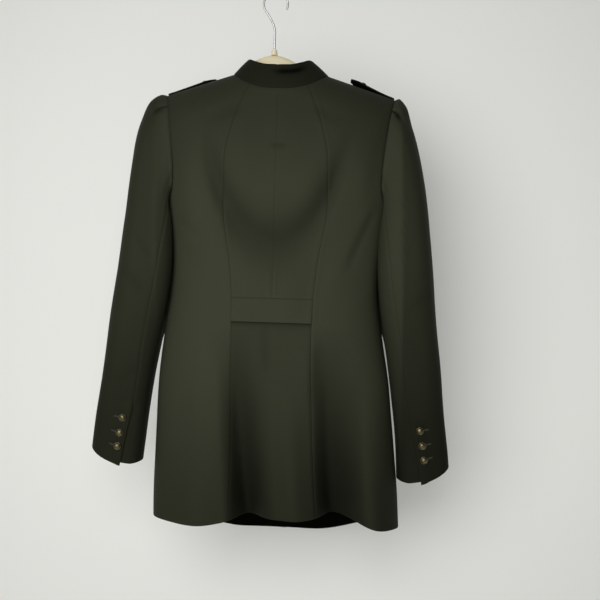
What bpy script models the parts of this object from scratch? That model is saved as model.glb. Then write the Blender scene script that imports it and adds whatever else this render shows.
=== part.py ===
"""Longline military jacket on its hanger, hung up by the hook with its back towards +Y.

Sizes are in millimetres and MM turns them into metres when a mesh is made. The garment has its own
frame: X towards the wearer's left, Y towards the back, Z up, with its zero at the bottom of the collar
at the centre back. An empty carries that frame to the part's origin, which is the inside top of the
hanger's hook.

Each cut piece is a wall of cloth. Its outer face is worked out on one surface, cloth(theta, run):
theta goes round the body from the centre back, and run goes down the cloth from the shoulder seam,
round the shoulder and on to the hem.
"""

import math

import bpy
import numpy as np
from mathutils import Matrix

MM = 0.001

CLOTH = 1.6
SEAM = 0.2
PROUD = 0.4
CLEAR = 0.3
SIDES = {"left": 1, "right": -1}

NECK_X = 82.0
NECK_Z = 31.0
SHOULDER_X = 194.6
SHOULDER_SLOPE = 0.324
ROLL = 60.0
FULLNESS = 0.3
FRONT_NECK_DROP = 80.0
UNDERARM_DROP = 200.0
BELT_TOP = 349.0
BELT_BOTTOM = 389.0
BELT_LIFT = (0.5, 2.0)
HEM_DROP = 725.0
FRONT_HEM_DROP = 756.0
FRONT_HEM_LEVEL = 60.0
SIDE_HEM_X = 209.0
SEAM_HEM_DROP = 720.0
OVERLAP = 18.0
UNDERLAP = 13.0
OVERLAP_EDGE = (30.0, 50.0)
SWAY = 13.5
DRAPE_POWER = 1.3

# drop below the collar seam, half width, depth of the back, depth of the front
BODY = (
    (-60, 200, 50, 50),
    (0, 200, 52, 58),
    (60, 200, 59, 63),
    (110, 199, 62, 67),
    (160, 195, 61, 70),
    (200, 190, 57, 70),
    (250, 181, 50, 64),
    (300, 176, 47, 56),
    (349, 178, 51, 53),
    (389, 184, 54, 55),
    (470, 194, 58, 60),
    (560, 201, 61, 64),
    (645, 207, 63, 67),
    (770, 212, 65, 70),
)

# drop, half distance between the two princess seams of the back
PRINCESS = (
    (-30, 40),
    (-8, 49.5),
    (20, 60.5),
    (43, 69.5),
    (60, 74.5),
    (97, 83.6),
    (125, 86.7),
    (161, 87.4),
    (213, 85),
    (247, 80.4),
    (276, 75.5),
    (305, 72.2),
    (346, 68.2),
    (389, 67),
    (480, 66.8),
    (578, 68),
    (680, 71),
    (770, 72),
)

# drop, half distance between the armhole's edges, on the back and on the front alike
ARMHOLE = (
    (-5, 197),
    (5, 194.6),
    (38, 188.3),
    (81, 182.1),
    (130, 176.4),
    (154, 175.4),
    (172, 177.4),
    (186, 182),
    (196, 187.5),
    (200, 190),
)

# each fold of the skirt: its place at the belt, its place at the hem, its half width towards the wearer's
# left, the one towards their right, how far it stands out at the hem (a trough where it is negative), the
# drop where it starts
FOLDS = (
    (62, 43, 20, 27, -48, 400),
    (-90, -98, 18, 42, -48, 395),
    (-24, -40, 22, 22, 13, 430),
    (-164, -172, 28, 28, 12, 430),
    (118, 124, 34, 34, 8, 430),
)

# distance from the skirt's middle, drop of the back hem there
HEM = (
    (-214, 730),
    (-163, 724),
    (-131, 713),
    (-96, 706),
    (-60, 710),
    (10, 713),
    (52, 714),
    (77, 720),
    (108, 726),
    (214, 726),
)

# drop, outer edge, inner edge, half depth, middle of the depth of a sleeve as it hangs
SLEEVE = (
    (185, 256.5, 178, 52, 0),
    (215, 260.5, 176, 53, 1),
    (250, 265, 175.5, 53, 3),
    (302, 271.5, 177, 52, 4),
    (342, 276.3, 181, 50, 3),
    (402, 283.3, 190.5, 47, 0),
    (449, 288.6, 198, 44, -4),
    (508, 294.8, 206.5, 40, -10),
    (563, 300.7, 213.5, 36, -16),
    (606, 305.2, 217.5, 33.5, -21),
    (650, 309.5, 221, 32, -25),
)

# drop, how far the left and the right sleeve swing outwards from that
SWING = (
    (215, -2.5, -2),
    (300, -3, -3.5),
    (400, -2, -4),
    (500, 0.5, -3),
    (600, 3.5, -2.5),
    (652, 4.5, -2.5),
)

# drop, where the elbow seam lies across the sleeve
ELBOW_SEAM = (
    (156, 178),
    (223, 184),
    (274, 191),
    (324, 198),
    (374, 207),
    (434, 218),
    (484, 225),
    (530, 233),
    (590, 247),
    (650, 259),
)

HOLLOW_Z = -256.0
HOLLOW_RISE = 72.0
HOLLOW_HALF_WIDTH = 85.0
HOLLOW_END = 130.0
HOLLOW_HALF_HEIGHT = 36.0
HOLLOW_DEPTH = 8.0

CAP_END = 215.0
CAP_LEAN = 0.012
CROWN_FALL = {"left": 0.1, "right": 0.42}
UNDERARM_FALL = 1.6
CAP_LEAVE = {"left": 0.92, "right": 0.56}
CAP_ARRIVE = 0.86
CUFF_DROP = {"left": 640.0, "right": 653.0}
CUFF_TILT = 0.25
CUFF_CURVE = 0.0065
CUFF_TILT_FROM = 480.0
INSEAM_ANGLE = -138.0
TOP_SHARE = 0.72
SLEEVE_SQUARENESS = 2.6
ARM_CLEARANCE = 2.5
ARM_SOFTNESS = 1.5
# the sleeve's front lies closer round the body than its back: how far, and between which drops
HUG = 10.0
HUG_FROM = (215.0, 260.0)
HUG_TO = (380.0, 430.0)
PLEAT_HEIGHT = {"left": 4.0, "right": 6.0}
PLEAT_HALF = 0.085
PLEAT_EDGE = 0.012
PLEAT_END = 0.34
PLEAT_WAY = (0.55, 0.83)
SEAM_SHARE = 0.0013
CAP_ROWS = (0, 0.05, 0.12, 0.2, 0.3, 0.42, 0.56, 0.7, 0.85)
TUBE_ROWS = 10
BUTTON_STEPS = 8
# parts of a button as shares of its radius: its shank, the height of its rim, its dome, its underside
BUTTON_SHANK = 0.35
BUTTON_RIM = 0.22
BUTTON_DOME = 0.64
BUTTON_UNDER = 0.16

NECK_BACK_COLUMNS = 4
NECK_SIDE_COLUMNS = 5
NECK_FRONT_COLUMNS = 7
SHOULDER_COLUMNS = 6
ARM_ROWS = 10
SEAM_ROW = 7
SIDE_ROWS = 16
SKIRT_ROWS = 11
WAIST_ROWS = 4
WAIST_FROM = 205.0
BELT_COLUMNS = 8
SKIRT_COLUMNS = 14
COLLAR_ROWS = 3
PRINCESS_START = math.asin(49.5 / NECK_X)

COLLAR_TOP_X = 56.0
COLLAR_LEAN = 2.8
COLLAR_TOP_BACK = 46.0
COLLAR_TOP_FRONT = -62.0
COLLAR_FRONT_GAP = 1.5

# angle from the centre back in degrees, height of the collar's top edge
COLLAR_TOP = (
    (0, 40.5),
    (25, 43),
    (45, 49.7),
    (65, 56.7),
    (90, 57),
    (120, 41),
    (150, 8),
    (180, -12),
)

EPAULETTE_OUTER = 193.0
EPAULETTE_TIP = {"left": 112.0, "right": 119.0}
EPAULETTE_FORWARD = 14.0
EPAULETTE_HALF = 21.0
EPAULETTE_WALL = 2.6
EPAULETTE_LIFT = {"left": 4.0, "right": 11.0}
EPAULETTE_BUTTON = 20.0
# the strap narrows by this much along its length, and from this share on runs to a point this much narrower
EPAULETTE_TAPER = 0.15
EPAULETTE_POINT_FROM = 0.8
EPAULETTE_POINT = 0.72

# distance across the sleeve and drop of each cuff button, on the left and on the right
CUFF_BUTTONS = (
    (251, 558, 253, 562),
    (256, 584, 258, 588),
    (260, 608, 262, 613),
)
CUFF_BUTTON_RADIUS = 6.6
FRONT_BUTTON_RADIUS = 9.0
FRONT_BUTTONS = 8
FRONT_BUTTON_FIRST = 74.0
FRONT_BUTTON_STEP = 48.0
FRONT_BUTTON_GAP = 0.3

HANGER_X = 13.0
HANGER_HALF_DEPTH = 9.0
# distance from the garment's middle, height of the hanger's top edge, half height of its section
HANGER = (
    (-181, -5, 5),
    (-176, -3, 7),
    (-150, 5.6, 9),
    (-120, 15.6, 9.5),
    (-98, 23.4, 10),
    (-80, 28.6, 10.5),
    (-63, 33.5, 11),
    (-48, 40, 12),
    (-33, 48.5, 13),
    (-20, 57, 14),
    (-4, 64, 15),
    (13, 67, 15),
    (30, 64, 15),
    (45, 57, 14),
    (56, 48, 13),
    (70, 34.5, 12),
    (84, 26.8, 10.5),
    (100, 22.6, 10),
    (120, 15.6, 9.5),
    (150, 5.6, 9),
    (176, -3, 7),
    (181, -5, 5),
)
FERRULE_RADIUS = 4.5
FERRULE_HEIGHT = 9.0
WIRE_RADIUS = 1.7
HOOK_RADIUS = 20.7
HOOK_CENTRE_Z = 154.8
HOOK_STEM_TOP = 108.0
HOOK_ARC = (-38, 205)

COLOURS = {
    "cloth": ((0.030, 0.031, 0.022), 0.85, 0.0),
    "brass": ((0.200, 0.150, 0.060), 0.38, 1.0),
    "hanger": ((0.750, 0.670, 0.450), 0.45, 0.0),
    "wire": ((0.450, 0.460, 0.470), 0.35, 1.0),
}


def follow(rows, column, place):
    """Smooth curve through one column of a table: cubic pieces with the slope of the rows beside each."""
    at = np.array([row[0] for row in rows], float)
    value = np.array([row[column] for row in rows], float)
    slope = np.gradient(value, at)
    place = np.clip(place, at[0], at[-1])
    i = np.clip(np.searchsorted(at, place) - 1, 0, len(at) - 2)
    width = at[i + 1] - at[i]
    s = (place - at[i]) / width
    start = (1 + 2 * s) * (1 - s) ** 2 * value[i] + s * (1 - s) ** 2 * width * slope[i]
    return start + s * s * (3 - 2 * s) * value[i + 1] + s * s * (s - 1) * width * slope[i + 1]


def ease(value, low, high):
    """Goes smoothly from 0 at low to 1 at high."""
    s = np.clip((value - low) / (high - low), 0, 1)
    return s * s * (3 - 2 * s)


def shoulder_line(x):
    """Height of the shoulder seam, which slopes down in a straight line from the neck."""
    return NECK_Z - (np.abs(x) - NECK_X) * SHOULDER_SLOPE


def run_to_drop(run):
    """How far the cloth has dropped below the shoulder line after this length of it."""
    quarter = ROLL * math.pi / 2
    return np.where(run < quarter, ROLL * (1 - np.cos(run / ROLL)), ROLL + run - quarter)


def drop_to_run(drop):
    """The other way round: the length of cloth for a drop."""
    quarter = ROLL * math.pi / 2
    return np.where(drop < ROLL, ROLL * np.arccos(np.clip(1 - drop / ROLL, -1, 1)), quarter + drop - ROLL)


def sway(z):
    """The skirt hangs a little towards the wearer's right."""
    return -SWAY * np.clip((-z - BELT_BOTTOM) / (HEM_DROP - BELT_BOTTOM), 0, 1.2) ** DRAPE_POWER


def relief(x, z):
    """How far the back stands out of its plain section: the hollow at the waist and the skirt's folds."""
    middle = HOLLOW_Z + HOLLOW_RISE * (x / HOLLOW_HALF_WIDTH) ** 2
    out = -HOLLOW_DEPTH * np.exp(-(((z - middle) / HOLLOW_HALF_HEIGHT) ** 2))
    out = out * (1 - ease(np.abs(x), HOLLOW_HALF_WIDTH, HOLLOW_END))
    below = np.clip((-z - BELT_BOTTOM) / (HEM_DROP - BELT_BOTTOM), 0, 1.1)
    for at_belt, at_hem, half_left, half_right, depth, start in FOLDS:
        down = np.clip((-z - start) / (HEM_DROP - start), 0, 1.1)
        across = x - at_belt - (at_hem - at_belt) * below
        across = across / np.where(across > 0, half_left, half_right)
        out = out + depth * down**DRAPE_POWER * np.exp(-(across**2))
    return out


def cloth(theta, run):
    """Outer face of the body: an oval section, rounded over at the shoulder, with the back's relief."""
    z = np.full(np.shape(theta + run), -100.0)
    for _ in range(14):
        x = follow(BODY, 1, -z) * np.sin(theta)
        z = shoulder_line(x) - run_to_drop(run)
    back = np.cos(theta) > 0
    depth = np.where(back, follow(BODY, 2, -z), follow(BODY, 3, -z))
    oval = np.cos(theta) * (1 + FULLNESS * np.sin(theta) ** 2)
    y = depth * oval * np.sin(np.minimum(run / ROLL, math.pi / 2))
    y = y + np.where(back, relief(x, z) * ease(np.cos(theta), 0, 0.5), 0)
    return np.stack([x + sway(z), y, z], -1)


def outward(shape, u, v, step_u, step_v):
    """Unit normals of a surface of two parameters, from points a small step away on it."""
    across = shape(u + step_u, v) - shape(u - step_u, v)
    along = shape(u, v + step_v) - shape(u, v - step_v)
    normal = np.cross(across, along)
    return normal / np.linalg.norm(normal, axis=-1, keepdims=True)


def theta_at(x, z, front=False):
    """Angle round the body of a point with this x, on the back or on the front."""
    angle = np.arcsin(np.clip(x / follow(BODY, 1, -z), -1, 1))
    return np.where(front, math.pi - angle, angle)


def on_body(theta, z, lift=0.0):
    """Points and normals of the body's outer face at these angles and heights, moved out by lift."""
    x = follow(BODY, 1, -z) * np.sin(theta)
    run = np.maximum(drop_to_run(shoulder_line(x) - z), SEAM)
    normal = outward(cloth, theta, run, 0.004, 0.1)
    return cloth(theta, run) + normal * np.asarray(lift)[..., None], normal


def patch(top, bottom, left, right):
    """Grid between four edges, each a list of pairs: the Coons patch, evenly spaced between them."""
    c = np.linspace(0, 1, len(top))[None, :, None]
    r = np.linspace(0, 1, len(left))[:, None, None]
    top, bottom = np.asarray(top)[None], np.asarray(bottom)[None]
    left, right = np.asarray(left)[:, None], np.asarray(right)[:, None]
    corners = (1 - r) * ((1 - c) * top[:, :1] + c * top[:, -1:])
    corners = corners + r * ((1 - c) * bottom[:, :1] + c * bottom[:, -1:])
    return (1 - r) * top + r * bottom + (1 - c) * left + c * right - corners


def pairs(first, second):
    """Pairs of an angle and a height, for the edge of a patch."""
    return np.stack(np.broadcast_arrays(np.asarray(first, float), np.asarray(second, float)), -1)


def material(kind):
    """Finish of one kind, as the table of colours has it."""
    colour, roughness, metallic = COLOURS[kind]
    made = bpy.data.materials.get(kind) or bpy.data.materials.new(kind)
    made.use_nodes = True
    shader = made.node_tree.nodes["Principled BSDF"]
    shader.inputs["Base Color"].default_value = (*colour, 1)
    shader.inputs["Roughness"].default_value = roughness
    shader.inputs["Metallic"].default_value = metallic
    return made


def place(thing, kind, parts, frame):
    """Gives an object its own finish, its collection and the garment's frame."""
    thing.data.materials.append(material(kind).copy())
    thing.data.materials[0].name = thing.name + "_finish"
    for collection in list(thing.users_collection):
        collection.objects.unlink(thing)
    parts.objects.link(thing)
    thing.parent = frame
    return thing


def wall(name, outer, normal, thickness, parts, frame, kind="cloth"):
    """Closed solid between a grid of outer points and the same grid moved in by the thickness."""
    rows, columns = outer.shape[:2]
    inner = outer - normal * thickness
    points = np.concatenate([outer.reshape(-1, 3), inner.reshape(-1, 3)]) * MM
    index = np.arange(rows * columns).reshape(rows, columns)
    quads = np.stack([index[:-1, :-1], index[1:, :-1], index[1:, 1:], index[:-1, 1:]], -1).reshape(-1, 4)
    rim = np.concatenate([index[0, :-1], index[:-1, -1], index[-1, :0:-1], index[:0:-1, 0]])
    after = np.roll(rim, -1)
    back = rows * columns
    edge = np.stack([rim, after, after + back, rim + back], -1)
    facing = np.cross(np.diff(outer, axis=0)[:, :-1], np.diff(outer, axis=1)[:-1])
    if np.sum(facing * normal[:-1, :-1]) < 0:
        quads, edge = quads[:, ::-1], edge[:, ::-1]
    faces = np.concatenate([edge, quads, quads[:, ::-1] + back])
    mesh = bpy.data.meshes.new(name)
    mesh.from_pydata(points.tolist(), [], faces.tolist())
    mesh.shade_smooth()
    mesh.set_sharp_from_angle(angle=math.radians(50))
    thing = bpy.data.objects.new(name, mesh)
    bpy.context.scene.collection.objects.link(thing)
    return place(thing, kind, parts, frame)


def body_panel(name, grid, parts, frame, lift=None):
    theta, z = grid[..., 0], grid[..., 1]
    raised = np.zeros(theta.shape) if lift is None else lift(theta, z)
    outer, normal = on_body(theta, z, raised)
    return wall(name, outer, normal, CLOTH, parts, frame)


def neck_height(phi):
    """Height of the neckline at an angle from the centre back: shallow behind, deep in front."""
    share = np.abs(np.sin(phi))
    behind = NECK_Z * share**2.6
    ahead = NECK_Z - FRONT_NECK_DROP * np.maximum(1 - share**2.2, 0) ** 0.625
    return np.where(np.cos(phi) > 0, behind, ahead)


def neckline(phi, inset, front=False):
    """Angle and height on the body of the neckline, moved away from the neck's opening by inset."""
    x = (NECK_X + inset) * np.sin(phi)
    z = np.minimum(neck_height(phi) - inset, shoulder_line(x))
    return pairs(theta_at(x, z, front | (np.cos(phi) < 0)), z)


def shoulder_edge(side, front):
    """Angles and heights along the shoulder seam, from the collar to the sleeve."""
    x = side * np.linspace(NECK_X, SHOULDER_X - SEAM, SHOULDER_COLUMNS + 1)[1:]
    z = shoulder_line(x)
    return pairs(theta_at(x, z, front), z)


def back_hem(x):
    """Height of the back's hem."""
    return -follow(HEM, 1, x)


def front_hem(x):
    """The front hem is lower than the back one, and meets it at the sides."""
    rise = FRONT_HEM_DROP - HEM_DROP - 1
    return -FRONT_HEM_DROP + rise * ease(np.abs(x), FRONT_HEM_LEVEL, SIDE_HEM_X)


def bunched(count):
    """Shares from 0 to 1, closer together at both ends."""
    return (1 - np.cos(np.linspace(0, math.pi, count + 1))) / 2


def armhole_rows():
    """Heights of the panels' points down the armhole, from the shoulder to the underarm."""
    top = float(shoulder_line(SHOULDER_X - SEAM))
    return top - (UNDERARM_DROP + top) * bunched(ARM_ROWS)


def armhole(side, z, front=False):
    """Angle of the armhole's edge: it joins the side seam at the underarm."""
    theta = theta_at(side * (follow(ARMHOLE, 1, -z) - SEAM), z, front)
    below = side * (math.pi / 2 + (0.003 if front else -0.003))
    return np.where(-z >= UNDERARM_DROP - 0.01, below, theta)


def side_edge(side, front, hem):
    """Armhole edge and side seam of a panel, from the shoulder to the hem."""
    z = np.concatenate([armhole_rows(), np.linspace(-UNDERARM_DROP, hem, SIDE_ROWS + 1)[1:]])
    return pairs(armhole(side, z, front), z)


def seam_rows(hem):
    """Heights of the points down a princess seam: collar to waist, the belt, then the skirt."""
    start = float(neck_height(PRINCESS_START)) - SEAM
    upper = start - (WAIST_FROM + start) * bunched(ARM_ROWS)
    waist = np.linspace(-WAIST_FROM, -BELT_TOP, WAIST_ROWS + 1)[1:]
    return np.concatenate([upper, waist, np.linspace(-BELT_BOTTOM, hem, SKIRT_ROWS + 1)])


def princess_seam(side, z, inset):
    """Angle of a princess seam's edge, moved away from the centre back by inset."""
    return theta_at(side * (follow(PRINCESS, 1, -z) + inset), z)


def back_side(label, side, parts, frame):
    """Side panel of the back, from the princess seam to the armhole and side seam, neck to hem."""
    phi = np.linspace(PRINCESS_START, math.pi / 2, NECK_SIDE_COLUMNS + 1)
    top = np.concatenate([neckline(side * phi, SEAM), shoulder_edge(side, False)])
    top[0, 0] = theta_at(side * (NECK_X * math.sin(PRINCESS_START) + SEAM), top[0, 1])
    right = side_edge(side, False, float(back_hem(side * SIDE_HEM_X)))
    hem_x = follow(PRINCESS, 1, SEAM_HEM_DROP)
    z = seam_rows(float(back_hem(side * hem_x)))
    left = pairs(princess_seam(side, z, SEAM), z)
    theta = np.linspace(left[-1, 0], right[-1, 0], len(top))
    bottom = pairs(theta, back_hem(np.sin(theta) * SIDE_HEM_X))
    left[0], right[0] = top[0], top[-1]
    left[-1], right[-1] = bottom[0], bottom[-1]
    body_panel(f"back_side_{label}", patch(top, bottom, left, right), parts, frame)


def back_centre(label, side, parts, frame):
    """Upper centre back, from the centre seam to the princess seam and from the collar to the belt."""
    phi = side * np.linspace(0, PRINCESS_START, NECK_BACK_COLUMNS + 1)
    top = neckline(phi, SEAM)
    top[0, 0] = theta_at(side * SEAM, top[0, 1])
    top[-1, 0] = theta_at(side * (NECK_X * math.sin(PRINCESS_START) - SEAM), top[-1, 1])
    z = seam_rows(-HEM_DROP)[: -(SKIRT_ROWS + 1)]
    z[-1] = -(BELT_TOP - SEAM)
    share = (z - z[0]) / (z[-1] - z[0])
    centre_z = top[0, 1] + (z[-1] - top[0, 1]) * share
    left = pairs(theta_at(side * SEAM, centre_z), centre_z)
    right = pairs(princess_seam(side, z, -SEAM), z)
    right[0] = top[-1]
    bottom = pairs(np.linspace(left[-1, 0], right[-1, 0], len(top)), z[-1])
    body_panel(f"back_centre_{label}", patch(top, bottom, left, right), parts, frame)


def back_belt(parts, frame):
    """Half belt set in at the waist between the princess seams; it stands proud, most at its lower edge."""
    z = np.array([-(BELT_TOP + SEAM), -(BELT_BOTTOM - SEAM)])
    left = pairs(princess_seam(-1, z, -SEAM), z)
    right = pairs(princess_seam(1, z, -SEAM), z)
    top = pairs(np.linspace(left[0, 0], right[0, 0], BELT_COLUMNS + 1), z[0])
    bottom = pairs(np.linspace(left[-1, 0], right[-1, 0], BELT_COLUMNS + 1), z[-1])

    def lift(theta, z):
        return BELT_LIFT[0] + (BELT_LIFT[1] - BELT_LIFT[0]) * ease(-z, BELT_TOP, BELT_BOTTOM)

    body_panel("back_belt", patch(top, bottom, left, right), parts, frame, lift)


def back_skirt_centre(parts, frame):
    """Centre of the skirt below the belt, with the folds that it falls in."""
    edges = []
    for side in (-1, 1):
        hem_x = side * follow(PRINCESS, 1, SEAM_HEM_DROP)
        z = seam_rows(float(back_hem(hem_x)))[-(SKIRT_ROWS + 1) :]
        z[0] = -(BELT_BOTTOM + SEAM)
        edges.append(pairs(princess_seam(side, z, -SEAM), z))
    left, right = edges
    top = pairs(np.linspace(left[0, 0], right[0, 0], SKIRT_COLUMNS + 1), left[0, 1])
    theta = np.linspace(left[-1, 0], right[-1, 0], SKIRT_COLUMNS + 1)
    bottom = pairs(theta, back_hem(np.sin(theta) * SIDE_HEM_X))
    left[-1], right[-1] = bottom[0], bottom[-1]
    body_panel("back_skirt_centre", patch(top, bottom, left, right), parts, frame)


def front(label, side, parts, frame):
    """Front, from the closing edge to the armhole and the side seam; the wearer's right one lies on top."""
    past = OVERLAP if side < 0 else UNDERLAP
    phi = side * np.linspace(math.pi, math.pi / 2, NECK_FRONT_COLUMNS + 1)
    centre = neckline(phi[:1], SEAM, True)
    start = centre + [[side * math.asin(past / float(follow(BODY, 1, -centre[0, 1]))), 0]]
    top = np.concatenate([start, neckline(phi, SEAM, True), shoulder_edge(side, True)])
    right = side_edge(side, True, float(back_hem(side * SIDE_HEM_X)))
    top[:, 0] = np.where(side * top[:, 0] < 0, top[:, 0] + side * 2 * math.pi, top[:, 0])
    right[:, 0] = np.where(side * right[:, 0] < 0, right[:, 0] + side * 2 * math.pi, right[:, 0])
    upper = top[0, 1] - (UNDERARM_DROP + top[0, 1]) * bunched(ARM_ROWS)
    z = np.concatenate([upper, np.linspace(-UNDERARM_DROP, -FRONT_HEM_DROP, SIDE_ROWS + 1)[1:]])
    edge = side * (math.pi + np.arcsin(past / follow(BODY, 1, -z)))
    left = pairs(edge, z)
    theta = np.linspace(left[-1, 0], right[-1, 0], len(top))
    bottom = pairs(theta, front_hem(np.sin(theta) * SIDE_HEM_X))
    bottom[-1, 1] = right[-1, 1]
    left[-1] = bottom[0]
    left[0], right[0] = top[0], top[-1]

    def lift(theta, z):
        inward = side * np.sin(theta) * follow(BODY, 1, -z)
        return (CLOTH + PROUD) * (1 - ease(inward, *OVERLAP_EDGE)) if side < 0 else np.zeros(theta.shape)

    body_panel(f"front_{label}", patch(top, bottom, left, right), parts, frame, lift)


def collar_surface(phi, share):
    """Stand collar, straight from the neckline to its top edge; phi goes round from the centre back."""
    seam = neckline(phi, -SEAM)
    x = follow(BODY, 1, -seam[..., 1]) * np.sin(seam[..., 0])
    low = cloth(seam[..., 0], np.maximum(drop_to_run(shoulder_line(x) - seam[..., 1]), 0))
    middle = (COLLAR_TOP_BACK + COLLAR_TOP_FRONT) / 2
    reach = (COLLAR_TOP_BACK - COLLAR_TOP_FRONT) / 2
    high = np.stack([
        COLLAR_LEAN + COLLAR_TOP_X * np.sin(phi),
        middle + reach * np.cos(phi),
        follow(COLLAR_TOP, 1, np.degrees(np.abs(phi))),
    ], -1)
    return low + (high - low) * np.asarray(share)[..., None]


def collar(parts, frame):
    """The collar's points stand over those of the neckline, round from one front edge to the other."""
    behind = np.linspace(0, PRINCESS_START, NECK_BACK_COLUMNS + 1)
    beside = np.linspace(PRINCESS_START, math.pi / 2, NECK_SIDE_COLUMNS + 1)[1:]
    ahead = np.linspace(math.pi / 2, math.pi, NECK_FRONT_COLUMNS + 1)[1:]
    half = np.concatenate([behind, beside, ahead])
    half[-1] -= COLLAR_FRONT_GAP / NECK_X
    phi, share = np.meshgrid(np.concatenate([-half[:0:-1], half]), np.linspace(0, 1, COLLAR_ROWS + 1))
    outer = collar_surface(phi, share)
    normal = -outward(collar_surface, phi, share, 0.004, 0.01)
    wall("collar", outer, normal, CLOTH, parts, frame)


def armhole_loop(side):
    """The armhole's edge as one loop: points, normals and lengths, from the top round by the back."""
    z = armhole_rows()
    back = pairs(armhole(side, z), z)
    ahead = pairs(armhole(side, z, True), z)[::-1]
    loop = np.concatenate([back, ahead[1:-1]])
    points, normals = on_body(loop[:, 0], loop[:, 1])
    closed = np.concatenate([points, points[:1]])
    length = np.concatenate([[0], np.cumsum(np.linalg.norm(np.diff(closed, axis=0), axis=1))])
    return points, normals, length


def along_loop(loop, place):
    """Point and normal of the body at these lengths along the armhole."""
    points, normals, length = loop
    total = length[-1]
    place = np.mod(place, total)
    closed = np.concatenate([points, points[:1]])
    closed_normals = np.concatenate([normals, normals[:1]])
    point = np.stack([np.interp(place, length, closed[:, k]) for k in range(3)], -1)
    normal = np.stack([np.interp(place, length, closed_normals[:, k]) for k in range(3)], -1)
    normal /= np.linalg.norm(normal, axis=-1, keepdims=True)
    return point, normal


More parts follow.
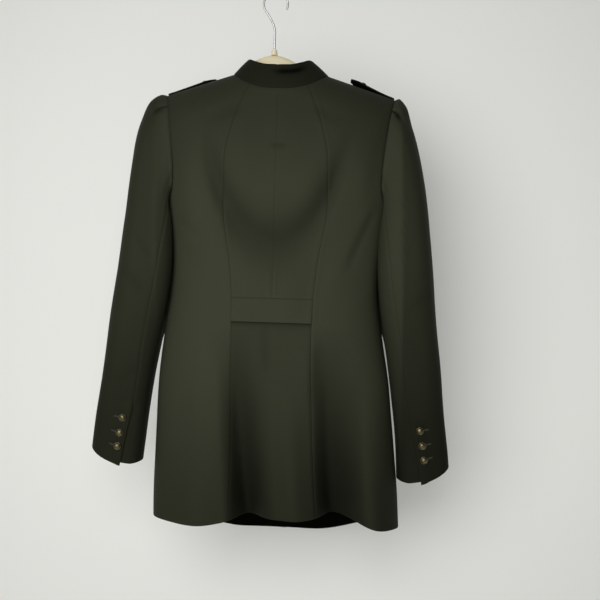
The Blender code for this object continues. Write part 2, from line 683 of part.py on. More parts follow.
class Sleeve:
    """One sleeve: a cap from the armhole down to the upper arm, then a tube down to the cuff."""

    def __init__(self, label):
        self.label = label
        self.side = SIDES[label]
        self.cuff = CUFF_DROP[label]
        self.loop = armhole_loop(self.side)
        self.length = self.loop[2]
        self.total = self.length[-1]
        self.elbow = float(self.length[SEAM_ROW])
        self.inseam = float(self.length[-1 - SEAM_ROW]) - self.total
        middle = TOP_SHARE / 2
        self.shares = (TOP_SHARE - 1, 0, middle, TOP_SHARE, 1, 1 + middle)
        last = self.elbow - self.total
        self.places = (self.inseam + self.total, self.elbow, 0, self.inseam, last, -self.total)

    def seam_place(self, g):
        """Length along the armhole for a share g round the sleeve: 0 elbow seam, TOP_SHARE inseam."""
        return np.interp(g, self.shares, self.places)

    def share_at(self, place):
        """The share round the sleeve that starts at this length along the armhole."""
        return np.interp(-place, [-p for p in self.places], self.shares)

    def ring(self, g, drop):
        """Point of the hanging sleeve: a squarish oval, kept clear of the body beside it."""
        outer, inner = follow(SLEEVE, 1, drop), follow(SLEEVE, 2, drop)
        half_depth, middle_y = follow(SLEEVE, 3, drop), follow(SLEEVE, 4, drop)
        swing = follow(SWING, 1 if self.label == "left" else 2, drop)
        centre, half = (outer + inner) / 2 + swing, (outer - inner) / 2
        seam = np.clip((follow(ELBOW_SEAM, 1, drop) - centre) / half, -0.98, 0.98)
        power = SLEEVE_SQUARENESS / 2
        elbow = np.degrees(np.arccos(np.sign(seam) * np.abs(seam) ** power))
        middle = TOP_SHARE / 2
        front = INSEAM_ANGLE
        angle = np.where(g < middle, elbow * (1 - g / middle), front * (g - middle) / (TOP_SHARE - middle))
        under = front + (elbow - 360 - front) * (g - TOP_SHARE) / (1 - TOP_SHARE)
        angle = np.where(g > TOP_SHARE, under, angle)
        before = elbow + (front + 360 - elbow) * (-g) / (1 - TOP_SHARE)
        angle = np.radians(np.where(g < 0, before, angle))
        cos, sin = np.cos(angle), np.sin(angle)
        x = centre + half * np.sign(cos) * np.abs(cos) ** (1 / power)
        y = middle_y + half_depth * np.sign(sin) * np.abs(sin) ** (1 / power)
        hug = HUG * ease(drop, *HUG_FROM) * (1 - ease(drop, *HUG_TO))
        x = x - hug * ease(-sin, -0.1, 0.6) * ease(-cos, 0, 0.6)
        tilt = CUFF_TILT * (x - centre) + CUFF_CURVE * (x - centre) ** 2
        z = -drop + tilt * ease(drop, CUFF_TILT_FROM, self.cuff)
        return np.stack([self.side * self.clear_of_body(x, y, z), y, z], -1)

    def clear_of_body(self, x, y, z):
        """Moves x out to the body's side, plus a little air, where the plain oval would reach into it."""
        depth = np.where(y > 0, follow(BODY, 2, -z), follow(BODY, 3, -z))
        wanted = np.abs(y) / depth
        cos = np.clip(wanted, 0, 1)
        for _ in range(8):
            cos = np.clip(wanted / (1 + FULLNESS * (1 - cos**2)), 0, 1)
        side = follow(BODY, 1, -z) * np.sqrt(1 - cos**2) + self.side * sway(z) + ARM_CLEARANCE
        return (x + side) / 2 + np.sqrt(((x - side) / 2) ** 2 + ARM_SOFTNESS)

    def surface(self, g, row):
        """Sleeve's outer face: row 0 to 1 is the cap, 1 to 2 is the tube down to the cuff."""
        point, normal = along_loop(self.loop, self.seam_place(g))
        end = self.ring(g, np.full(np.shape(g), CAP_END))
        below = self.ring(g, np.full(np.shape(g), CAP_END + 4))
        chord = np.linalg.norm(end - point, axis=-1, keepdims=True)
        crown = np.clip(np.cos(2 * math.pi * np.clip(g - TOP_SHARE / 2, -0.5, 0.5)), 0, 1)
        fall = CROWN_FALL[self.label] * crown + UNDERARM_FALL * (1 - crown) ** 2
        lean = np.stack([np.full(np.shape(g), self.side), CAP_LEAN * point[..., 1], -fall], -1)
        leave = lean / np.linalg.norm(lean, axis=-1, keepdims=True) * chord * CAP_LEAVE[self.label]
        arrive = (below - end) / np.linalg.norm(below - end, axis=-1, keepdims=True) * chord * CAP_ARRIVE
        start = point + np.array([self.side * 2 * SEAM, 0, 0])
        s = np.clip(row, 0, 1)[..., None]
        cap = (1 + 2 * s) * (1 - s) ** 2 * start + s * (1 - s) ** 2 * leave
        cap = cap + s * s * (3 - 2 * s) * end + s * s * (s - 1) * arrive
        pleat = ease(PLEAT_HALF - np.abs(g - TOP_SHARE / 2), 0, PLEAT_EDGE) * ease(row, 0, 0.05)
        pleat = pleat * (1 - ease(row, PLEAT_END * 0.45, PLEAT_END)) * PLEAT_HEIGHT[self.label]
        cap = cap + pleat[..., None] * np.array([self.side * PLEAT_WAY[0], 0, PLEAT_WAY[1]])
        tube = self.ring(g, CAP_END + (self.cuff - CAP_END) * np.clip(row - 1, 0, 1.1))
        return np.where(row[..., None] < 1, cap, tube)

    def piece(self, name, shares, parts, frame):
        """Wall of one sleeve piece; its side edges are set in by the seam's gap and keep its normals."""
        rows = np.concatenate([CAP_ROWS, np.linspace(1, 2, TUBE_ROWS + 1)])
        g, row = np.meshgrid(shares, rows)
        set_in = g.copy()
        set_in[:, 0] += SEAM_SHARE
        set_in[:, -1] -= SEAM_SHARE
        outer = self.surface(set_in, row)
        normal = outward(self.surface, g, np.maximum(row, 0.004), 0.004, 0.004) * self.side
        _, body = along_loop(self.loop, self.seam_place(g[0]))
        ahead, _ = along_loop(self.loop, self.seam_place(g[0]) + 8)
        behind, _ = along_loop(self.loop, self.seam_place(g[0]) - 8)
        away = np.cross(body, ahead - behind) * self.side
        away /= np.linalg.norm(away, axis=-1, keepdims=True)
        normal[0] -= np.maximum(np.sum(normal[0] * away, -1, keepdims=True), 0) * away
        normal[0] /= np.linalg.norm(normal[0], axis=-1, keepdims=True)
        return wall(name, outer, normal, CLOTH, parts, frame)


def sleeve(label, parts, frame):
    """Top and under sleeve, with a point for each of the armhole's, and twice as many under the arm."""
    shape = Sleeve(label)
    middle = TOP_SHARE / 2
    back = shape.share_at(shape.length[: SEAM_ROW + 1])[::-1]
    ahead = shape.share_at(shape.length[-1 - SEAM_ROW :] - shape.total)[::-1]
    steps = [middle + way * (PLEAT_HALF - part) for way in (-1, 1) for part in (0, PLEAT_EDGE)]
    top = np.unique(np.round(np.concatenate([back, ahead, steps]), 6))
    low = shape.length[SEAM_ROW : len(shape.length) - SEAM_ROW] - shape.total
    under = shape.share_at(low)[::-1]
    under = np.sort(np.concatenate([under, (under[1:] + under[:-1]) / 2]))
    shape.piece(f"top_sleeve_{label}", top, parts, frame)
    shape.piece(f"under_sleeve_{label}", under, parts, frame)
    return shape


def epaulette(label, side, parts, frame):
    """Shoulder strap: sewn in at the armhole, pointed, and lifted a little at its free end."""
    length = EPAULETTE_OUTER - EPAULETTE_TIP[label]
    share = np.array([0, 0.2, 0.4, 0.6, 0.8, 0.92, 1.0])
    x = EPAULETTE_OUTER - length * share
    point = np.clip((share - EPAULETTE_POINT_FROM) / (1 - EPAULETTE_POINT_FROM), 0, 1)
    half = EPAULETTE_HALF * (1 - EPAULETTE_TAPER * share) * (1 - EPAULETTE_POINT * point)
    across = np.linspace(-1, 1, 9)
    run = across[None, :] * half[:, None] - EPAULETTE_FORWARD
    x = np.repeat(x[:, None], len(across), axis=1)
    z = shoulder_line(x) - run_to_drop(np.abs(run))
    theta = theta_at(side * x, z, run < 0)
    points = cloth(theta, np.abs(run))
    normal = outward(cloth, theta, np.maximum(np.abs(run), 0.2), 0.004, 0.1)
    rise = EPAULETTE_LIFT[label] * (share**1.5)[:, None, None] * np.array([0, 0, 1.0])
    outer = points + normal * (CLEAR + EPAULETTE_WALL) + rise
    wall(f"epaulette_{label}", outer, normal, EPAULETTE_WALL, parts, frame)
    button_x = EPAULETTE_TIP[label] + EPAULETTE_BUTTON
    at = np.interp(-button_x, -x[:, 0], np.arange(len(share)))
    low, part = int(at), at - int(at)
    middle = len(across) // 2
    point = outer[low, middle] * (1 - part) + outer[low + 1, middle] * part
    way = normal[low, middle]
    button(f"epaulette_button_{label}", CUFF_BUTTON_RADIUS, point, way, parts, frame)


def button(name, radius, point, normal, parts, frame):
    """Domed shank button, turned from its profile and set just off the cloth along its normal."""
    shank, rim, under = BUTTON_SHANK * radius, BUTTON_RIM * radius, BUTTON_UNDER * radius
    profile = [(0, rim + BUTTON_DOME * radius)]
    for angle in (68, 46, 24):
        turned = math.radians(angle)
        profile.append((radius * math.cos(turned), rim + BUTTON_DOME * radius * math.sin(turned)))
    profile += [(radius, rim), (0.9 * radius, under), (shank, under), (shank, 0), (0, 0)]
    mesh = bpy.data.meshes.new(name)
    points = [(x * MM, 0, z * MM) for x, z in profile]
    mesh.from_pydata(points, [(i, i + 1) for i in range(len(points) - 1)], [])
    thing = bpy.data.objects.new(name, mesh)
    bpy.context.scene.collection.objects.link(thing)
    turn = thing.modifiers.new("turned", "SCREW")
    turn.steps = turn.render_steps = BUTTON_STEPS
    turn.use_merge_vertices = True
    turn.merge_threshold = 0.00001
    turn.use_smooth_shade = True
    up = np.asarray(normal) / np.linalg.norm(normal)
    side = np.cross(up, [0, 0, 1.0] if abs(up[2]) < 0.9 else [0, 1.0, 0])
    side /= np.linalg.norm(side)
    basis = Matrix(np.column_stack([side, np.cross(up, side), up]).tolist())
    thing.rotation_euler = basis.to_euler()
    thing.location = ((np.asarray(point) + up * CLEAR) * MM).tolist()
    return place(thing, "brass", parts, frame)


def cuff_buttons(label, shape, parts, frame):
    """Three buttons up the cuff, beside the elbow seam on the top sleeve."""
    column = 0 if label == "left" else 2
    g = np.linspace(0.0, TOP_SHARE / 2, 200)
    for number, row in enumerate(CUFF_BUTTONS, start=1):
        x, drop = row[column], row[column + 1]
        line = shape.ring(g, np.full(g.shape, float(drop)))
        share = float(np.interp(x, np.abs(line[:, 0]), g))
        at_row = 1 + (drop - CAP_END) / (shape.cuff - CAP_END)
        where = np.array([share]), np.array([at_row])
        point = shape.surface(*where)[0]
        normal = (outward(shape.surface, *where, 0.004, 0.004) * shape.side)[0]
        button(f"cuff_button_{label}_{number}", CUFF_BUTTON_RADIUS, point, normal, parts, frame)


def front_buttons(parts, frame):
    """One row of buttons down the closing edge, on the wearer's right front."""
    for number in range(FRONT_BUTTONS):
        z = np.array([-(FRONT_BUTTON_FIRST + FRONT_BUTTON_STEP * number)])
        theta = np.array([-math.pi])
        point, normal = on_body(theta, z, np.array([CLOTH + PROUD + FRONT_BUTTON_GAP]))
        button(f"front_button_{number + 1}", FRONT_BUTTON_RADIUS, point[0], normal[0], parts, frame)


def hanger_body(parts, frame):
    """Hanger: oval sections along its arms, arched up at the neck, just under the shoulders' cloth."""
    x = np.array([row[0] for row in HANGER], float)
    top = np.array([row[1] for row in HANGER], float)
    tall = np.array([row[2] for row in HANGER], float)
    angle = np.linspace(0, 2 * math.pi, 11)[:-1]
    deep = HANGER_HALF_DEPTH * np.clip(tall / 9, 0.5, 1)
    rings = np.stack(np.broadcast_arrays(
        x[:, None],
        deep[:, None] * np.sin(angle),
        (top - tall)[:, None] + tall[:, None] * np.cos(angle),
    ), -1)
    count = len(angle)
    faces = []
    for i in range(len(x) - 1):
        for j in range(count):
            after = (j + 1) % count
            faces.append((i * count + j, (i + 1) * count + j, (i + 1) * count + after, i * count + after))
    faces.append(tuple(range(count)))
    faces.append(tuple((len(x) - 1) * count + j for j in range(count))[::-1])
    mesh = bpy.data.meshes.new("hanger_body")
    mesh.from_pydata((rings.reshape(-1, 3) * MM).tolist(), [], faces)
    mesh.shade_smooth()
    thing = bpy.data.objects.new("hanger_body", mesh)
    bpy.context.scene.collection.objects.link(thing)
    return place(thing, "hanger", parts, frame)


def hanger_ferrule(parts, frame):
    """Boss on top of the hanger, round the foot of the hook."""
    top = max(row[1] for row in HANGER)
    bpy.ops.mesh.primitive_cone_add(
        vertices=16,
        radius1=FERRULE_RADIUS * 1.25 * MM,
        radius2=FERRULE_RADIUS * MM,
        depth=FERRULE_HEIGHT * MM,
        location=(HANGER_X * MM, 0, (top + CLEAR + FERRULE_HEIGHT / 2) * MM),
    )
    thing = bpy.context.active_object
    thing.name = "hanger_ferrule"
    place(thing, "hanger", parts, frame)


def hook_route():
    """Middle line of the hook: a straight stem, a bend out to one side, then round over the top."""
    start = max(row[1] for row in HANGER) + CLEAR + FERRULE_HEIGHT + CLEAR
    stem = [(HANGER_X, z) for z in np.linspace(start, HOOK_STEM_TOP, 3)]
    first, last = (math.radians(angle) for angle in HOOK_ARC)
    arc = [
        (HANGER_X + HOOK_RADIUS * math.cos(angle), HOOK_CENTRE_Z + HOOK_RADIUS * math.sin(angle))
        for angle in np.linspace(first, last, 19)
    ]
    s = np.linspace(0, 1, 7)[1:-1]
    down = np.array([0, 32.0])
    way = np.array([-math.sin(first), math.cos(first)]) * 26
    a, b = np.array(stem[-1]), np.array(arc[0])
    bend = [
        (1 + 2 * t) * (1 - t) ** 2 * a + t * (1 - t) ** 2 * down
        + t * t * (3 - 2 * t) * b + t * t * (t - 1) * way
        for t in s
    ]
    return stem + [tuple(point) for point in bend] + arc


def hanger_hook(parts, frame):
    """Hook of round wire, bent to its route."""
    route = hook_route()
    line = bpy.data.curves.new("hanger_hook", "CURVE")
    line.dimensions = "3D"
    line.bevel_depth = WIRE_RADIUS * MM
    line.bevel_resolution = 2
    line.use_fill_caps = True
    spline = line.splines.new("POLY")
    spline.points.add(len(route) - 1)
    for point, (x, z) in zip(spline.points, route):
        point.co = (x * MM, 0, z * MM, 1)
    thing = bpy.data.objects.new("hanger_hook", line)
    bpy.context.scene.collection.objects.link(thing)
    place(thing, "wire", parts, frame)


def main():
    for thing in list(bpy.data.objects):
        bpy.data.objects.remove(thing)
    parts = bpy.data.collections.new("military_jacket")
    bpy.context.scene.collection.children.link(parts)
    frame = bpy.data.objects.new("jacket_frame", None)
    frame.location = (-HANGER_X * MM, 0, -(HOOK_CENTRE_Z + HOOK_RADIUS - WIRE_RADIUS) * MM)
    parts.objects.link(frame)

    collar(parts, frame)
    back_belt(parts, frame)
    back_skirt_centre(parts, frame)
    for label, side in SIDES.items():
        back_centre(label, side, parts, frame)
        back_side(label, side, parts, frame)
        front(label, side, parts, frame)
        shape = sleeve(label, parts, frame)
        cuff_buttons(label, shape, parts, frame)
        epaulette(label, side, parts, frame)
    front_buttons(parts, frame)
    hanger_body(parts, frame)
    hanger_ferrule(parts, frame)
    hanger_hook(parts, frame)


main()
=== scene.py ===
"""Looks of the longline military jacket on its hanger: fine cloth shells on the forms of the CAD part.

Sizes are in millimetres in the garment's own frame: X towards the wearer's left, Y towards the back, Z up,
with its zero at the bottom of the collar at the centre back. SHIFT carries that frame to the part's origin,
the inside top of the hanger's hook, and MM turns millimetres into metres when a mesh is made.
"""

import math

import bpy
import numpy as np
from mathutils import Matrix, Vector


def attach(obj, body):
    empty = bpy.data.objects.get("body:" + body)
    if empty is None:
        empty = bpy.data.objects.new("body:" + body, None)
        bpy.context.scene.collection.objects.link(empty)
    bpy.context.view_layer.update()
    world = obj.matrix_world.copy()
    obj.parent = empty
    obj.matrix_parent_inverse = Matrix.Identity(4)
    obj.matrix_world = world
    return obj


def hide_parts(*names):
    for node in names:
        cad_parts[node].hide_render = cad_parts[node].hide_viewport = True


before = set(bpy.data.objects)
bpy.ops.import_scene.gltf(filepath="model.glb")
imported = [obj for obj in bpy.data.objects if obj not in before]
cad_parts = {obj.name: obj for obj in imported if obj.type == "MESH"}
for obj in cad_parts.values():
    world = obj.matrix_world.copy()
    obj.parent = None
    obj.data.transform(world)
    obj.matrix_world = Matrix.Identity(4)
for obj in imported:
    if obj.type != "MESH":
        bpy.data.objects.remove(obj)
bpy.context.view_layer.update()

SHIFT = np.array([-13.0, 0.0, -173.8])
MM = 0.001
DEPTH = np.array([0, 1.0, 0])
UP = np.array([0, 0, 1.0])

CLOTH = 1.6
SEAM = 0.07
PROUD = 0.4
CLEAR = 0.3
SIDES = {"left": 1, "right": -1}

NECK_X = 82.0
NECK_Z = 31.0
SHOULDER_X = 194.6
SHOULDER_SLOPE = 0.324
ROLL = 60.0
FULLNESS = 0.3
FRONT_NECK_DROP = 80.0
UNDERARM_DROP = 200.0
BELT_TOP = 349.0
BELT_BOTTOM = 389.0
BELT_LIFT = (0.5, 2.0)
HEM_DROP = 725.0
FRONT_HEM_DROP = 756.0
FRONT_HEM_LEVEL = 60.0
SIDE_HEM_X = 209.0
SEAM_HEM_DROP = 720.0
OVERLAP = 18.0
UNDERLAP = 13.0
OVERLAP_EDGE = (30.0, 50.0)
SWAY = 13.5
DRAPE_POWER = 1.3

# drop below the collar seam, half width, depth of the back, depth of the front
BODY = (
    (-60, 200, 50, 50), (0, 200, 52, 58), (60, 200, 59, 63), (110, 199, 62, 67), (160, 195, 61, 70),
    (200, 190, 57, 70), (250, 181, 50, 64), (300, 176, 47, 56), (349, 178, 51, 53),
    (389, 184, 54, 55), (470, 194, 58, 60), (560, 201, 61, 64), (645, 207, 63, 67),
    (770, 212, 65, 70),
)

# drop, half distance between the two princess seams of the back
PRINCESS = (
    (-30, 40), (-8, 49.5), (20, 60.5), (43, 69.5), (60, 74.5), (97, 83.6), (125, 86.7), (161, 87.4),
    (213, 85), (247, 80.4), (276, 75.5), (305, 72.2), (346, 68.2), (389, 67), (480, 66.8),
    (578, 68), (680, 71), (770, 72),
)

# drop, half distance between the armhole's edges, on the back and on the front alike
ARMHOLE = (
    (-5, 197), (5, 194.6), (38, 188.3), (81, 182.1), (130, 176.4), (154, 175.4), (172, 177.4),
    (186, 182), (196, 187.5), (200, 190),
)

# each fold of the skirt: its place at the belt, its place at the hem, its half width towards the wearer's
# left, the one towards their right, how far it stands out at the hem (a trough where it is negative), the
# drop where it starts
FOLDS = (
    (62, 43, 20, 27, -48, 400),
    (-90, -98, 18, 42, -48, 395),
    (-24, -40, 22, 22, 13, 430),
    (-164, -172, 28, 28, 12, 430),
    (118, 124, 34, 34, 8, 430),
)

# distance from the skirt's middle, drop of the back hem there
HEM = (
    (-214, 730), (-163, 724), (-131, 713), (-96, 706), (-60, 710), (10, 713), (52, 714), (77, 720),
    (108, 726), (214, 726),
)

# drop, outer edge, inner edge, half depth, middle of the depth of a sleeve as it hangs
SLEEVE = (
    (185, 256.5, 178, 52, 0),
    (215, 260.5, 176, 53, 1),
    (250, 265, 175.5, 53, 3),
    (302, 271.5, 177, 52, 4),
    (342, 276.3, 181, 50, 3),
    (402, 283.3, 190.5, 47, 0),
    (449, 288.6, 198, 44, -4),
    (508, 294.8, 206.5, 40, -10),
    (563, 300.7, 213.5, 36, -16),
    (606, 305.2, 217.5, 33.5, -21),
    (650, 309.5, 221, 32, -25),
)

# drop, how far the left and the right sleeve swing outwards from that
SWING = (
    (215, -2.5, -2), (300, -3, -3.5), (400, -2, -4), (500, 0.5, -3), (600, 3.5, -2.5),
    (652, 4.5, -2.5),
)

# drop, where the elbow seam lies across the sleeve
ELBOW_SEAM = (
    (156, 178), (223, 184), (274, 191), (324, 198), (374, 207), (434, 218), (484, 225), (530, 233),
    (590, 247), (650, 259),
)

HOLLOW_Z = -256.0
HOLLOW_RISE = 72.0
HOLLOW_HALF_WIDTH = 85.0
HOLLOW_END = 130.0
HOLLOW_HALF_HEIGHT = 36.0
HOLLOW_DEPTH = 8.0

CAP_END = 215.0
CAP_LEAN = 0.012
CROWN_FALL = {"left": 0.1, "right": 0.42}
UNDERARM_FALL = 1.6
CAP_LEAVE = {"left": 0.92, "right": 0.56}
CAP_ARRIVE = 0.86
CUFF_DROP = {"left": 640.0, "right": 653.0}
CUFF_TILT = 0.25
CUFF_CURVE = 0.0065
CUFF_TILT_FROM = 480.0
INSEAM_ANGLE = -138.0
TOP_SHARE = 0.72
SLEEVE_SQUARENESS = 2.6
ARM_CLEARANCE = 2.5
ARM_SOFTNESS = 1.5
# the sleeve's front lies closer round the body than its back: how far, and between which drops
HUG = 10.0
HUG_FROM = (215.0, 260.0)
HUG_TO = (380.0, 430.0)
PLEAT_HEIGHT = {"left": 4.0, "right": 6.0}
PLEAT_HALF = 0.062
PLEAT_EDGE = 0.012
PLEAT_END = 0.34
PLEAT_WAY = (0.55, 0.83)
# a button's shank and its underside, as shares of its radius
BUTTON_SHANK = 0.35
BUTTON_UNDER = 0.16

NECK_SIDE_COLUMNS = 5
NECK_FRONT_COLUMNS = 7
SHOULDER_COLUMNS = 6
ARM_ROWS = 10
SEAM_ROW = 7
SIDE_ROWS = 16
SKIRT_ROWS = 11
WAIST_ROWS = 4
WAIST_FROM = 205.0
PRINCESS_START = math.asin(49.5 / NECK_X)

COLLAR_TOP_X = 56.0
COLLAR_LEAN = 2.8
COLLAR_TOP_BACK = 46.0
COLLAR_TOP_FRONT = -62.0
COLLAR_FRONT_GAP = 1.5

# angle from the centre back in degrees, height of the collar's top edge
COLLAR_TOP = (
    (0, 40.5), (25, 43), (45, 49.7), (65, 56.7), (90, 57), (120, 41), (150, 8), (180, -12),
)

EPAULETTE_OUTER = 193.0
EPAULETTE_TIP = {"left": 112.0, "right": 119.0}
EPAULETTE_FORWARD = 14.0
EPAULETTE_HALF = 21.0
EPAULETTE_WALL = 2.6
EPAULETTE_LIFT = {"left": 4.0, "right": 11.0}
EPAULETTE_BUTTON = 20.0
# the strap narrows by this much along its length, and from this share on runs to a point this much narrower
EPAULETTE_TAPER = 0.15
EPAULETTE_POINT_FROM = 0.8
EPAULETTE_POINT = 0.72

# distance across the sleeve and drop of each cuff button, on the left and on the right
CUFF_BUTTONS = (
    (251, 558, 253, 562), (256, 584, 258, 588), (260, 608, 262, 613),
)
CUFF_BUTTON_RADIUS = 6.6
FRONT_BUTTON_RADIUS = 9.0
FRONT_BUTTONS = 8
FRONT_BUTTON_FIRST = 74.0
FRONT_BUTTON_STEP = 48.0
FRONT_BUTTON_GAP = 0.3

HANGER_X = 13.0
HANGER_HALF_DEPTH = 9.0
# distance from the garment's middle, height of the hanger's top edge, half height of its section
HANGER = (
    (-181, -5, 5), (-176, -3, 7), (-150, 5.6, 9), (-120, 15.6, 9.5), (-98, 23.4, 10),
    (-80, 28.6, 10.5), (-63, 33.5, 11), (-48, 40, 12), (-33, 48.5, 13), (-20, 57, 14), (-4, 64, 15),
    (13, 67, 15), (30, 64, 15), (45, 57, 14), (56, 48, 13), (70, 34.5, 12), (84, 26.8, 10.5),
    (100, 22.6, 10), (120, 15.6, 9.5), (150, 5.6, 9), (176, -3, 7), (181, -5, 5),
)
FERRULE_HEIGHT = 9.0
WIRE_RADIUS = 1.7
HOOK_RADIUS = 20.7
HOOK_CENTRE_Z = 154.8
HOOK_STEM_TOP = 108.0
HOOK_ARC = (-38, 205)


def cubic(s, start, leave, end, arrive):
    """Cubic curve from one value to another, with these slopes at its two ends."""
    out = (1 + 2 * s) * (1 - s) ** 2 * start + s * (1 - s) ** 2 * leave
    return out + s * s * (3 - 2 * s) * end + s * s * (s - 1) * arrive


def follow(rows, column, place):
    """Smooth curve through one column of a table: cubic pieces with the slope of the rows beside each."""
    at = np.array([row[0] for row in rows], float)
    value = np.array([row[column] for row in rows], float)
    slope = np.gradient(value, at)
    place = np.clip(place, at[0], at[-1])
    i = np.clip(np.searchsorted(at, place) - 1, 0, len(at) - 2)
    width = at[i + 1] - at[i]
    return cubic((place - at[i]) / width, value[i], width * slope[i], value[i + 1], width * slope[i + 1])


def ease(value, low, high):
    """Goes smoothly from 0 at low to 1 at high."""
    s = np.clip((value - low) / (high - low), 0, 1)
    return s * s * (3 - 2 * s)


def shoulder_line(x):
    """Height of the shoulder seam, which slopes down in a straight line from the neck."""
    return NECK_Z - (np.abs(x) - NECK_X) * SHOULDER_SLOPE


def run_to_drop(run):
    """How far the cloth has dropped below the shoulder line after this length of it."""
    quarter = ROLL * math.pi / 2
    return np.where(run < quarter, ROLL * (1 - np.cos(run / ROLL)), ROLL + run - quarter)


def drop_to_run(drop):
    """The other way round: the length of cloth for a drop."""
    quarter = ROLL * math.pi / 2
    return np.where(drop < ROLL, ROLL * np.arccos(np.clip(1 - drop / ROLL, -1, 1)), quarter + drop - ROLL)


def sway(z):
    """The skirt hangs a little towards the wearer's right."""
    return -SWAY * np.clip((-z - BELT_BOTTOM) / (HEM_DROP - BELT_BOTTOM), 0, 1.2) ** DRAPE_POWER


def relief(x, z):
    """How far the back stands out of its plain section: the hollow at the waist and the skirt's folds."""
    middle = HOLLOW_Z + HOLLOW_RISE * (x / HOLLOW_HALF_WIDTH) ** 2
    out = -HOLLOW_DEPTH * np.exp(-(((z - middle) / HOLLOW_HALF_HEIGHT) ** 2))
    out = out * (1 - ease(np.abs(x), HOLLOW_HALF_WIDTH, HOLLOW_END))
    below = np.clip((-z - BELT_BOTTOM) / (HEM_DROP - BELT_BOTTOM), 0, 1.1)
    for at_belt, at_hem, half_left, half_right, depth, start in FOLDS:
        down = np.clip((-z - start) / (HEM_DROP - start), 0, 1.1)
        across = x - at_belt - (at_hem - at_belt) * below
        across = across / np.where(across > 0, half_left, half_right)
        out = out + depth * down**DRAPE_POWER * np.exp(-(across**2))
    return out


def cloth(theta, run):
    """Outer face of the body: an oval section, rounded over at the shoulder, with the back's relief."""
    z = np.full(np.shape(theta + run), -100.0)
    for _ in range(14):
        x = follow(BODY, 1, -z) * np.sin(theta)
        z = shoulder_line(x) - run_to_drop(run)
    back = np.cos(theta) > 0
    depth = np.where(back, follow(BODY, 2, -z), follow(BODY, 3, -z))
    oval = np.cos(theta) * (1 + FULLNESS * np.sin(theta) ** 2)
    y = depth * oval * np.sin(np.minimum(run / ROLL, math.pi / 2))
    y = y + np.where(back, relief(x, z) * ease(np.cos(theta), 0, 0.5), 0)
    return np.stack([x + sway(z), y, z], -1)


def unit(vectors):
    """The same directions with a length of 1."""
    return vectors / np.linalg.norm(vectors, axis=-1, keepdims=True)


def lengths(points):
    """Length along a line of points, at each of them."""
    return np.concatenate([[0], np.cumsum(np.linalg.norm(np.diff(points, axis=0), axis=-1))])


def outward(shape, u, v, step_u, step_v):
    """Unit normals of a surface of two parameters, from points a small step away on it."""
    across = shape(u + step_u, v) - shape(u - step_u, v)
    along = shape(u, v + step_v) - shape(u, v - step_v)
    return unit(np.cross(across, along))


def theta_at(x, z, front=False):
    """Angle round the body of a point with this x, on the back or on the front."""
    angle = np.arcsin(np.clip(x / follow(BODY, 1, -z), -1, 1))
    return np.where(front, math.pi - angle, angle)


def on_body(theta, z, lift=0.0):
    """Points and normals of the body's outer face at these angles and heights, moved out by lift."""
    x = follow(BODY, 1, -z) * np.sin(theta)
    run = np.maximum(drop_to_run(shoulder_line(x) - z), SEAM)
    normal = outward(cloth, theta, run, 0.004, 0.1)
    return cloth(theta, run) + normal * np.asarray(lift)[..., None], normal


def pairs(first, second):
    """Pairs of an angle and a height, for the edge of a patch."""
    return np.stack(np.broadcast_arrays(np.asarray(first, float), np.asarray(second, float)), -1)


def neck_height(phi):
    """Height of the neckline at an angle from the centre back: shallow behind, deep in front."""
    share = np.abs(np.sin(phi))
    behind = NECK_Z * share**2.6
    ahead = NECK_Z - FRONT_NECK_DROP * np.maximum(1 - share**2.2, 0) ** 0.625
    return np.where(np.cos(phi) > 0, behind, ahead)


def neckline(phi, inset, front=False):
    """Angle and height on the body of the neckline, moved away from the neck's opening by inset."""
    x = (NECK_X + inset) * np.sin(phi)
    z = np.minimum(neck_height(phi) - inset, shoulder_line(x))
    return pairs(theta_at(x, z, front | (np.cos(phi) < 0)), z)


def back_hem(x):
    """Height of the back's hem."""
    return -follow(HEM, 1, x)


def front_hem(x):
    """The front hem is lower than the back one, and meets it at the sides."""
    rise = FRONT_HEM_DROP - HEM_DROP - 1
    return -FRONT_HEM_DROP + rise * ease(np.abs(x), FRONT_HEM_LEVEL, SIDE_HEM_X)


def bunched(count):
    """Shares from 0 to 1, closer together at both ends."""
    return (1 - np.cos(np.linspace(0, math.pi, count + 1))) / 2


def armhole_rows():
    """Heights of the panels' points down the armhole, from the shoulder to the underarm."""
    top = float(shoulder_line(SHOULDER_X - SEAM))
    return top - (UNDERARM_DROP + top) * bunched(ARM_ROWS)


def armhole(side, z, front=False):
    """Angle of the armhole's edge: it joins the side seam at the underarm."""
    theta = theta_at(side * (follow(ARMHOLE, 1, -z) - SEAM), z, front)
    below = side * (math.pi / 2 + (0.003 if front else -0.003))
    return np.where(-z >= UNDERARM_DROP - 0.01, below, theta)


def side_edge(side, front, hem):
    """Armhole edge and side seam of a panel, from the shoulder to the hem."""
    z = np.concatenate([armhole_rows(), np.linspace(-UNDERARM_DROP, hem, SIDE_ROWS + 1)[1:]])
    return pairs(armhole(side, z, front), z)


def seam_rows(hem):
    """Heights of the points down a princess seam: collar to waist, the belt, then the skirt."""
    start = float(neck_height(PRINCESS_START)) - SEAM
    upper = start - (WAIST_FROM + start) * bunched(ARM_ROWS)
    waist = np.linspace(-WAIST_FROM, -BELT_TOP, WAIST_ROWS + 1)[1:]
    return np.concatenate([upper, waist, np.linspace(-BELT_BOTTOM, hem, SKIRT_ROWS + 1)])


def princess_seam(side, z, inset):
    """Angle of a princess seam's edge, moved away from the centre back by inset."""
    return theta_at(side * (follow(PRINCESS, 1, -z) + inset), z)


